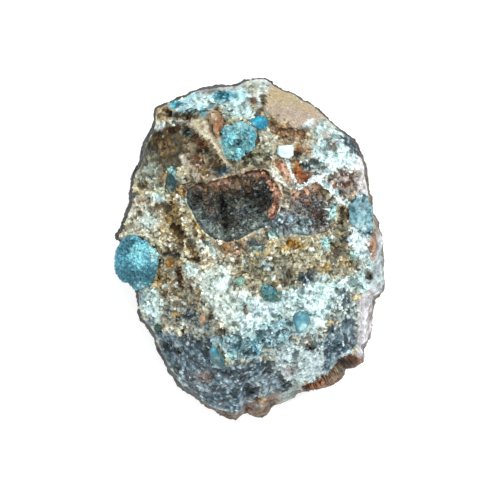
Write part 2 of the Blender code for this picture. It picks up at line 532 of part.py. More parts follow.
def make_facet_crystal(name, rise, depth, outline):
    """A crystal with flat faces: a prism on its outline, drawn in at its top and its foot."""
    cx, cy = middle(outline)
    ground = face_height(np.array([cx]), np.array([cy]))[0]
    about = Matrix.Translation((-cx, -cy, 0.0))
    bm = bmesh.new()
    top = bm.faces.new([bm.verts.new((*at, ground - depth)) for at in outline])
    bmesh.ops.scale(bm, vec=(FACET_FOOT, FACET_FOOT, 1.0), space=about, verts=top.verts)
    for height, share in FACET_RINGS:
        covered = top if len(bm.faces) > 1 else None
        grown = bmesh.ops.extrude_face_region(bm, geom=[top])["geom"]
        top = next(part for part in grown if isinstance(part, bmesh.types.BMFace))
        if covered:
            bmesh.ops.delete(bm, geom=[covered], context="FACES_ONLY")
        for vert in top.verts:
            vert.co.z = ground + height * (rise if height > 0.0 else depth)
        bmesh.ops.scale(bm, vec=(share, share, 1.0), space=about, verts=top.verts)
    bmesh.ops.recalc_face_normals(bm, faces=bm.faces)
    bmesh.ops.scale(bm, vec=(MM, MM, MM), verts=bm.verts)
    return add_object(name, bm)


def make_socket(name, depth, divisions, outline):
    """The cutter for a crystal's socket: a pebble a little larger, drawn up clear of the face."""
    bm, unit = ball(divisions)
    place(bm, *seated(outline, unit * SOCKET_SLACK, CUTTER_REACH, depth, FIT_GAP))
    return add_object(name + "_cutter", bm, cutter=True)


# ---------------------------------------------------------------- the specimen
def main():
    for old in list(bpy.data.objects):
        bpy.data.objects.remove(old)
    stone = make_stone()
    cutters = []
    for name, mouth, depth, lean, thickness, divisions in HOLLOWS:
        cutters.append(make_lining(name, mouth, depth, lean, thickness, divisions))
    for name, rise, depth, divisions, socket_divisions, bump, outline in NODULES:
        make_nodule(name, rise, depth, divisions, bump, outline)
        cutters.append(make_socket(name, depth, socket_divisions, outline))
    for name, rise, depth, outline in FACETED:
        make_facet_crystal(name, rise, depth, outline)
        cutters.append(make_socket(name, depth * FACET_SOCKET, 2, outline))
    for cutter in cutters:
        made = stone.modifiers.new(cutter.name, "BOOLEAN")
        made.operation = "DIFFERENCE"
        made.solver = "EXACT"
        made.object = cutter


main()
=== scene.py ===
"""The looks of a palm-sized calcite specimen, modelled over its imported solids.

One stone carries everything: crumbly calcite, a chalcedony plate, ledges, clefts, a comb of
rusty ribs on its side and two hollows lined with fine crystals. Blue, teal, rosy, honey and
white crystals sit in it, and thousands of loose crumbs and cleavage chips lie on its broken
face. Sizes and places are in millimetres until a mesh is filled; X runs across the face, Y
along it, Z up.
"""

import math
import random

import bmesh
import bpy
import numpy as np
from bpy.props import FloatProperty, FloatVectorProperty, IntProperty, PointerProperty
from mathutils import Euler, Matrix, Vector, noise


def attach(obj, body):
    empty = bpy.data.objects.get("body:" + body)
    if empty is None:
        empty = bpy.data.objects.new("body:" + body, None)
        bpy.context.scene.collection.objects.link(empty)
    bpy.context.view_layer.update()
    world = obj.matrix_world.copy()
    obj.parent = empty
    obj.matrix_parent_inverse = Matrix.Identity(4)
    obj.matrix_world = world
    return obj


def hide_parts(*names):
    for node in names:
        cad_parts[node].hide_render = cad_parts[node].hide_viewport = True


bl_info = {
    "name": "Calcite specimen",
    "version": (1, 0, 0),
    "blender": (4, 5, 0),
    "location": "3D View > Sidebar > Specimen",
    "description": "Models the stone, its crystal-lined hollows, its coloured crystals and its crumbs",
    "category": "Object",
}

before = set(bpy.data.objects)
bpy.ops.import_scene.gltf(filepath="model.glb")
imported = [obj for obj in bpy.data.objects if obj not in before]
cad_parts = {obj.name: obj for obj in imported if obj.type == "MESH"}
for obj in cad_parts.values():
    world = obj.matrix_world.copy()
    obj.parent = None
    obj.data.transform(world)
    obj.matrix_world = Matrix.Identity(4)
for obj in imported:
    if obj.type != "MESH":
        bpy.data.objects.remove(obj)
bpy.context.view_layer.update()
BODY = "root"  # nothing moves, so every piece rides on the one body

MM = 0.001  # metres in a millimetre

# ---------------------------------------------------------------- the stone's forms
CROWN_HEIGHT = 30.0  # the face's middle above the surface that the stone lies on
WIDEST_SHARE = 0.6  # the stone is widest at this share of its rim's height
BACK_HALF_WIDTH, BACK_HALF_LENGTH = 21.0, 27.0  # the flat back that it lies on
CROWN_POWER = 2.3  # how late the face falls off towards its rim
WIDEST_DOWN = 0.35  # share of the side, from the rim, that lies above the widest contour
BOWL_STEEPNESS = 3.0  # 2 makes a hollow's wall an ellipse, and more makes it steeper
BOWL_SWELL = 0.8  # how far a hollow's wall swells or dents
BOWL_WAVES = (0.7, 5.0)  # the swell's scale and start
CRUST_FADE = (1.0, 0.8)  # a crust thins out between these shares of the way up its wall
FACE_AREA, SIDE_AREA, BACK_AREA = 0.72, 0.23, 0.05  # shares of the ball that become each

# Smooth relief: how strong it is, how wide its features are, and where its noise starts.
FACE_BLOCKS = (0.75, 6.0, 5.0)
FACE_WAVES = [(0.7, 5.0, 11.0), (0.6, 2.6, 47.0)]
SKIN_DENTS = [(0.9, 9.0, 3.0), (0.5, 4.0, 29.0), (0.22, 1.7, 61.0)]
BLOCK_TILT = 1.2  # how much a broken block leans
PLATE_CALM = 0.85  # share of the relief that the chalcedony plate lacks
SKIN_DEPTH = 0.7  # the skin lies this far inside the outline, on average
RIM_DENTS = 0.3  # share of the dents above the widest contour
GRAIN_FADE = (1.0, 0.93)  # the face's relief starts between these shares of the way to its rim

# The stone seen from above, anticlockwise from its right-hand end.
OUTLINE = [
    (33.3, 0), (32.4, 6.5), (31.5, 8.5), (30.6, 9.5), (29, 19.2), (29.1, 20.8), (26.2, 27.3), (25.2, 28.5),
    (22.8, 30), (20.2, 32.5), (14.7, 37.2), (13.2, 37.6), (10.6, 39.6), (8.5, 39.9), (7.2, 40.8),
    (5.5, 41.5), (4.9, 42.6), (3.8, 43), (1.8, 43.1), (-1.6, 42.2), (-3, 41.2), (-10.2, 40.7),
    (-14.2, 39.9), (-16, 38.7), (-23.7, 35.5), (-24.1, 34.5), (-23.9, 32.2), (-24.5, 30.5), (-26.9, 26.4),
    (-27.5, 23.2), (-28.1, 21.4), (-29.4, 19.6), (-30.3, 11.2), (-31.4, 9.2), (-32.4, 5), (-33.4, 4.3),
    (-33.8, 3.2), (-32.6, 2), (-31.2, 0), (-30, -6), (-28.5, -10.5), (-28.1, -15.8), (-27.3, -17.9),
    (-25.4, -19.6), (-24.4, -21.4), (-20.9, -29.2), (-19, -32.5), (-16.6, -35.2), (-13.3, -37.2),
    (-9.8, -40.1), (-5.6, -41.8), (-3.9, -42.8), (-3, -43), (-2.4, -42), (-1.4, -41), (-0.5, -40.8),
    (0.4, -41.8), (3.6, -41.7), (5.1, -40.6), (5.4, -39.2), (6.4, -38.6), (7.6, -39), (12.4, -35.2),
    (16.2, -34.9), (20.6, -33.8), (22.7, -32), (23.8, -30.2), (28.4, -28.2), (28.8, -27), (28.4, -25.2),
    (29.6, -23.4), (30.4, -19), (30.6, -15.4), (31.4, -12.8), (33, -10.4), (33.8, -8.2), (33.1, -6),
    (33.2, -4.2), (33.7, -2.5),
]

# How far the face's edge stands inside the outline, by direction in degrees.
RIM_WIDTHS = [
    (-178, 1.0), (-150, 0.8), (-115, 0.7), (-101, 0.9), (-87, 3.4), (-82, 3.6), (-74, 2.2),
    (-68, 1.2), (-58, 3.0), (-48, 3.6), (-42, 2.4), (-38, 3.2), (-30, 3.6), (-18, 3.2), (-8, 2.8),
    (0, 2.0), (8, 1.4), (20, 0.9), (40, 0.6), (90, 0.5), (130, 0.8), (150, 1.1), (165, 0.9),
]
# The height of the face's edge, by direction in degrees.
RIM_HEIGHTS = [
    (-170, 18.5), (-150, 17), (-130, 15.5), (-100, 14.5), (-80, 15), (-60, 17), (-45, 18.5),
    (-25, 20), (0, 21), (20, 20.5), (45, 19), (65, 20), (90, 23.5), (115, 22.5), (135, 19.5),
    (155, 18.5),
]

# Plates and hollows of the face: name, lift, edge softness, tilt in X, outline.
PLATES = [
    ("tan chalcedony plate", 0.9, 1.1, 0.0, [
        (3, 35.5), (4.5, 39), (6, 40.5), (15, 36.5), (24, 28.5), (22.5, 26), (20, 27), (14, 30.5),
        (10.5, 30.5), (6.5, 32), (4, 33.5)]),
    ("rusty scarp under the plate", -1.6, 0.8, 0.0, [
        (5, 31.6), (13.2, 29.2), (14, 27.2), (12, 26), (8.5, 26.5), (6.2, 27.5), (5.2, 29.2)]),
    ("white and blue strip", 1.4, 0.4, 0.0, [
        (-21, 35.8), (-13.8, 39.5), (-8.8, 40.2), (-2.5, 40.8), (-0.8, 38.2), (-1.8, 35.8), (-5.5, 35),
        (-9.5, 36), (-11.8, 34.2), (-15, 34.8), (-18.5, 34.5)]),
    ("top knob", 0.9, 0.6, 0.0, [
        (-2, 41.5), (1.5, 43), (4.5, 42), (5.5, 40), (4, 38), (1.5, 36.5), (-0.5, 37.5), (-2, 39.5)]),
    ("ridge plate", 1.7, 0.5, 0.0, [
        (-15.5, 32.2), (-12.5, 33.2), (-11, 31.6), (-7, 23.5), (-4.2, 20.2), (-6, 19.8), (-8, 23),
        (-13.5, 29)]),
    ("dark facet", -3.2, 0.8, -0.1, [
        (-22.5, 30), (-20.5, 31.5), (-16, 31.5), (-10.5, 26), (-6.5, 20), (-10, 18.5), (-13.5, 18.5),
        (-16.5, 20), (-18.5, 22.5), (-24.5, 21.5), (-25, 25), (-24, 28)]),
    ("cream fin", 2.4, 0.3, 0.0, [
        (-17.5, 23.2), (-15.5, 21.8), (-12.2, 18.2), (-14.2, 18.5), (-16.5, 19.8)]),
    ("brick red patch", -0.9, 0.4, 0.0, [
        (5, 21.8), (8.5, 22.5), (12.5, 22.5), (17, 21.8), (20.5, 20), (14, 16.8), (10.5, 16.5), (8.5, 17.5)]),
    ("mauve patch", -0.8, 0.5, 0.0, [
        (19, 18), (22, 20), (25, 19), (26, 16), (25, 13), (22.5, 13), (18, 16.5)]),
    ("white shelf", 0.7, 0.6, 0.0, [
        (15, 30), (22, 26), (25.5, 25), (28, 21.5), (27, 19.5), (19, 20.5), (15.5, 22.5)]),
    ("white crumbly mass", 1.2, 1.0, 0.0, [
        (-9.5, -3), (-4.5, -5), (3, -12.5), (9, -12), (12.5, -9), (20, -7.5), (27.5, -3), (30, -9),
        (26, -12.5), (21, -14), (19, -19), (14, -20.5), (10, -18), (0, -21), (-6, -21), (-9.5, -19),
        (-9, -14), (-12.5, -10), (-16, -9), (-16, -3)]),
    ("dark apron", -1.8, 1.3, 0.0, [
        (-25, -22), (-11, -24), (-9.5, -29), (-6, -30.5), (5, -27), (7.5, -30.5), (12.5, -34),
        (11.5, -36.5), (3, -38), (-3, -43), (-12.5, -39), (-19, -34)]),
]

# Ridges and clefts: name, half width, lift, the line that each follows.
RIDGES = [
    ("notch under the strip", 1.1, -1.9, [(-20.5, 33.8), (-18.5, 33.4), (-16, 33.2), (-13, 32.8)]),
    ("cream ridge", 0.8, 1.2, [(4, 21.5), (5.5, 19.8), (7.5, 17), (10, 15)]),
    ("white vein", 0.6, 0.9, [(8.8, 21.8), (9.8, 19.5), (10.8, 17.5)]),
    ("ridge above the hollow", 0.7, 1.0, [(20.8, 19.8), (18, 18.5), (15, 17.2), (12, 15.9)]),
    ("ridge beside the hollow", 0.8, 1.1, [
        (15.5, 17.6), (18, 15.9), (20.4, 13.9), (23, 11.8), (24, 10.2)]),
    ("hollow's lower lip", 0.7, 0.8, [(7.4, 3.6), (12, 2.6), (16, 2.8), (20.5, 3.4)]),
    ("vug's lower lip", 0.6, 0.7, [
        (-15.9, 9.8), (-13.6, 5.2), (-10.4, 2.2), (-5.8, 0.9), (-2, 1.8), (3.2, 4.5), (7, 7.2)]),
    ("upright cleft", 1.0, -2.6, [
        (-18, 6), (-17.5, 3.5), (-17.5, 1), (-18.2, -1.5), (-17.5, -4.5), (-17.2, -7.5),
        (-17.5, -10.2)]),
    ("slanting cleft", 0.8, -2.0, [(-15.2, 1.5), (-14, -0.8), (-12.8, -3.2)]),
    ("crack round the pod", 0.5, -1.1, [
        (-10, -14.5), (-9.7, -18.8), (-10.6, -21.5), (-11.2, -25.5), (-10, -28.9), (-7.2, -30.7),
        (-4.6, -30.4)]),
]

# Small rounded rises and pits: name, centre, half length, half width, turn, lift.
LUMPS = [
    ("slot beside the rhomb", (11.6, 24.2), 1.3, 0.7, 68, -1.8),
    ("ochre cleft", (22.5, 8.2), 2.4, 0.8, 88, -2.2),
    ("ochre sag left of the cleft", (-20, -5.5), 5.0, 2.2, 95, -1.0),
    ("left shoulder", (-25, 11), 7.5, 4.5, 80, 1.2),
    ("shoulder above the ball", (-22.5, 4.5), 4.0, 3.0, 10, 1.0),
    ("block right of the cleft", (-12.5, -6.8), 4.2, 3.2, 20, 1.7),
    ("white boulder", (-8.2, -11.0), 3.2, 2.4, 70, 1.9),
    ("cream boulder", (-1.5, -12.2), 3.0, 2.3, 30, 1.5),
    ("grey boulder", (11, -12.4), 3.4, 2.2, 10, 1.4),
    ("speckled rise", (3.5, -2.2), 6.0, 3.0, -12, 1.5),
    ("ochre rise", (9.5, 0.2), 4.5, 2.2, -10, 1.6),
    ("right shoulder", (25, -1.5), 3.4, 4.8, 0, 0.9),
    ("left lower shoulder", (-24, -13), 3.0, 4.5, -10, 0.9),
    ("saddle under the ball", (-27, -3), 7.0, 7.5, 0, -3.0),
    ("apron rise", (-13, -32), 6.5, 3.5, -35, 0.9),
    ("white toe", (4, -34.5), 5.0, 2.0, 15, 0.9),
    ("brown dimple", (15, -24.2), 1.6, 1.2, 30, -1.1),
    ("toe pit", (-3.8, -35.8), 1.1, 0.9, 60, -1.4),
    ("second toe pit", (-0.4, -35.2), 1.2, 0.9, 120, -1.4),
]

# The mouths of the two hollows.
VUG_MOUTH = [
    (-15.5, 15), (-13.5, 16.2), (-11, 17), (-8.8, 17.2), (-6, 17.8), (-3, 18.5), (0, 19.5), (3, 20),
    (4.5, 19.5), (5.8, 17.8), (7.2, 15.5), (7.9, 13.5), (7.5, 11.2), (6.8, 9.5), (6, 7.8),
    (4.8, 6.5), (2.8, 5.5), (0.5, 4.5), (-1.2, 3.5), (-3.5, 2.4), (-5.8, 2), (-8, 2.4), (-10, 3.5),
    (-11.8, 5), (-13, 6.5), (-13.8, 8.2), (-14.5, 9.8), (-15.5, 11.5), (-15.8, 13.2),
]
HOLLOW_MOUTH = [
    (10.4, 13.6), (12.5, 14.9), (14.6, 16), (16.6, 15.2), (18.2, 13.4), (19.8, 11.2), (19.2, 9.2),
    (20, 6.8), (19.2, 4.6), (16, 3.9), (12, 3.9), (9.4, 4.4), (8.4, 5.8), (9, 8), (9.8, 10.5),
]

# Crystal crusts that line them: name, mouth, depth, lean of the floor, thickness.
HOLLOWS = [
    ("vug_crust", VUG_MOUTH, 11.4, (-0.6, -1.6), 1.8),
    ("hollow_crust", HOLLOW_MOUTH, 4.4, (0.6, 0.3), 1.0),
]

# Crystals in sockets: name, rise, depth, outline.
NODULES = [
    ("blue_ball", 4.4, 4.6, [
        (-33.2, 0.8), (-32, 2.2), (-30.6, 3.2), (-28.6, 3.6), (-26.6, 2.4), (-24.6, 1.3),
        (-23.4, -0.2), (-22.9, -2.2), (-23.3, -4.6), (-24, -6.9), (-25.4, -8.9), (-27.2, -10),
        (-29.2, -9.6), (-30.4, -8.2), (-32.2, -7.4), (-33.3, -6), (-33.7, -3.6), (-33.6, -1.2)]),
    ("turquoise_cluster", 2.1, 1.8, [
        (-6.9, 29.9), (-5.2, 30.7), (-0.8, 31.4), (1, 30), (1.6, 28), (1.3, 26.2), (0.1, 24.6),
        (-1.1, 24.2), (-1.6, 23), (-3.4, 22.4), (-5.5, 22.8), (-7, 27.8)]),
    ("azure_knob", 1.6, 1.4, [
        (-0.2, 32.2), (1.2, 33.2), (3.2, 33), (4.5, 31.8), (4, 30.1), (2.4, 29.9), (0.8, 30.6)]),
    ("green_bead", 1.2, 1.2, [
        (-20.8, 20.5), (-19.2, 21), (-18.2, 19.8), (-18, 17.8), (-18.8, 15.8), (-19.5, 14),
        (-20.8, 14.2), (-21, 16.5), (-20.3, 18.5)]),
    ("rosy_crystal", 2.2, 1.3, [
        (-10.5, 34), (-9.4, 35), (-7.9, 34.9), (-7, 33.6), (-7.1, 31.5), (-7.3, 29.2), (-7.9, 27.8),
        (-8.7, 28.8), (-9.2, 30.8), (-10.2, 32.2)]),
    ("pale_blue_lump", 1.6, 1.8, [
        (25.8, 12.6), (27.4, 13.2), (28.6, 12.6), (30.5, 7.4), (30.4, 6), (29.6, 4.6), (28.6, 4.2),
        (27.6, 5), (26.2, 5.4), (25, 6.4), (24.5, 8.6), (24.8, 11)]),
    ("teal_lump", 1.1, 1.1, [
        (2.8, -8.5), (4, -8), (5.2, -9), (6.6, -9.8), (8, -10.5), (8, -11.8), (6.2, -12.6),
        (4.2, -12.6), (2.9, -11)]),
    ("teal_pod", 1.2, 1.2, [
        (-10, -24.5), (-9, -24), (-7.8, -24.8), (-7, -26.2), (-6.5, -27.8), (-6.4, -29.3),
        (-7.8, -29.1), (-9.2, -27.8), (-9.9, -26)]),
    ("teal_bead_1", 0.8, 0.9, [
        (-1.3, -7.8), (-2, -6.7), (-3.2, -6.8), (-3.7, -7.9), (-3, -8.8), (-1.9, -8.8)]),
    ("teal_bead_2", 0.7, 0.9, [
        (26.7, -7.9), (26.2, -6.9), (25.2, -6.9), (24.8, -7.8), (25.4, -8.8), (26.3, -8.7)]),
    ("teal_bead_3", 0.7, 0.9, [
        (-22, -19.3), (-22.7, -18.5), (-23.7, -18.8), (-23.9, -19.8), (-23.2, -20.4), (-22.3, -20.2)]),
]

# Flat-faced crystals: name, rise, depth, outline.
FACETED = [
    ("teal_crystal", 1.5, 1.3, [
        (11.2, -15.7), (13, -15.2), (14.5, -16), (14.9, -17.6), (14.1, -19.3), (12.7, -20.6), (11.6, -20.5),
        (11.3, -18.8), (10.6, -17.2)]),
    ("calcite_rhomb", 1.3, 1.4, [
        (7, 25.8), (10.4, 26.1), (10.8, 25.2), (10.7, 23.6), (9.7, 22.6), (7.6, 23), (6.7, 24)]),
    ("honey_crystal", 1.3, 1.2, [
        (-13, -17.4), (-12.2, -16), (-10.9, -15.9), (-10.8, -17.6), (-12, -18.4)]),
]

# ---------------------------------------------------------------- tints
TINTS = {
    "cream": (0.52, 0.49, 0.35), "chalk": (0.52, 0.69, 0.68), "white": (0.72, 0.89, 0.92),
    "knob": (0.46, 0.51, 0.47), "icy": (0.38, 0.63, 0.68), "strip_grey": (0.36, 0.38, 0.36),
    "sky": (0.043, 0.32, 0.41), "tan_brown": (0.36, 0.27, 0.14), "umber": (0.076, 0.057, 0.031),
    "liver": (0.14, 0.041, 0.012), "grey_cream": (0.34, 0.35, 0.29), "facet": (0.076, 0.065, 0.036),
    "facet_grey": (0.063, 0.067, 0.052), "facet_brown": (0.21, 0.14, 0.059), "ink": (0.015, 0.062, 0.074),
    "brown_mix": (0.38, 0.32, 0.21), "rust_red": (0.28, 0.09, 0.013), "putty": (0.41, 0.36, 0.25),
    "fin": (0.3, 0.26, 0.19), "sage_grey": (0.29, 0.31, 0.23), "dark_earth": (0.17, 0.13, 0.07),
    "hazel": (0.34, 0.21, 0.08), "ochre": (0.45, 0.29, 0.066), "dull_ochre": (0.3, 0.22, 0.09),
    "deep_ochre": (0.35, 0.17, 0.008), "honey_cream": (0.62, 0.59, 0.4), "olive_dark": (0.35, 0.37, 0.26),
    "tan": (0.36, 0.28, 0.16), "mauve_tan": (0.34, 0.27, 0.22),
    "light_cream": (0.63, 0.63, 0.51), "mauve_grey": (0.36, 0.34, 0.33), "pink_white": (0.6, 0.59, 0.62),
    "corner_blue": (0.014, 0.037, 0.047), "rust": (0.43, 0.26, 0.16), "rust_dark": (0.14, 0.067, 0.026),
    "brick": (0.85, 0.52, 0.37), "orange": (0.29, 0.077, 0.016), "hot_orange": (0.47, 0.13, 0.008),
    "rough_grey": (0.31, 0.39, 0.38), "mauve_brown": (0.41, 0.37, 0.34), "lilac": (0.42, 0.47, 0.52),
    "slate": (0.16, 0.24, 0.29), "navy": (0.025, 0.06, 0.08), "blue_slate": (0.17, 0.24, 0.3),
    "pale_slate": (0.34, 0.41, 0.45), "black": (0.03, 0.03, 0.026), "teal_grey": (0.32, 0.49, 0.53),
    "teal_blue": (0.08, 0.3, 0.39), "pale_teal": (0.41, 0.69, 0.68), "grey_teal": (0.18, 0.3, 0.27),
    "green_teal": (0.2, 0.39, 0.32), "dark_olive": (0.23, 0.24, 0.17), "low_white": (0.48, 0.59, 0.6),
    "low_grey": (0.42, 0.46, 0.41), "stone_grey": (0.46, 0.55, 0.52), "rib_rust": (0.18, 0.079, 0.039),
    "rib_dark": (0.1, 0.051, 0.028), "rosy_grey": (0.27, 0.19, 0.14), "nodule_skin": (0.2, 0.18, 0.16),
    "vug_grey": (0.061, 0.082, 0.075), "vug_brown": (0.14, 0.072, 0.026), "vug_lower": (0.13, 0.17, 0.15),
    "salmon": (0.55, 0.31, 0.21), "hollow_grey": (0.26, 0.24, 0.22), "hollow_rose": (0.35, 0.2, 0.12),
    "hollow_blue": (0.22, 0.36, 0.41), "ball_cyan": (0.11, 0.38, 0.48), "ball_dark": (0.03, 0.15, 0.2),
    "ball_mid": (0.074, 0.3, 0.4), "ball_bright": (0.24, 0.64, 0.72), "turquoise": (0.17, 0.43, 0.48),
    "azure": (0.006, 0.27, 0.43), "azure_dark": (0.008, 0.18, 0.3), "azure_bright": (0.008, 0.45, 0.66),
    "bead_teal": (0.014, 0.062, 0.048), "rosy": (0.32, 0.19, 0.1), "lump_blue": (0.17, 0.32, 0.36),
    "lump_teal": (0.069, 0.2, 0.2), "pod_teal": (0.062, 0.17, 0.2), "crystal_teal": (0.031, 0.15, 0.18),
    "rhomb_white": (0.57, 0.68, 0.66), "honey": (0.4, 0.26, 0.15),
}

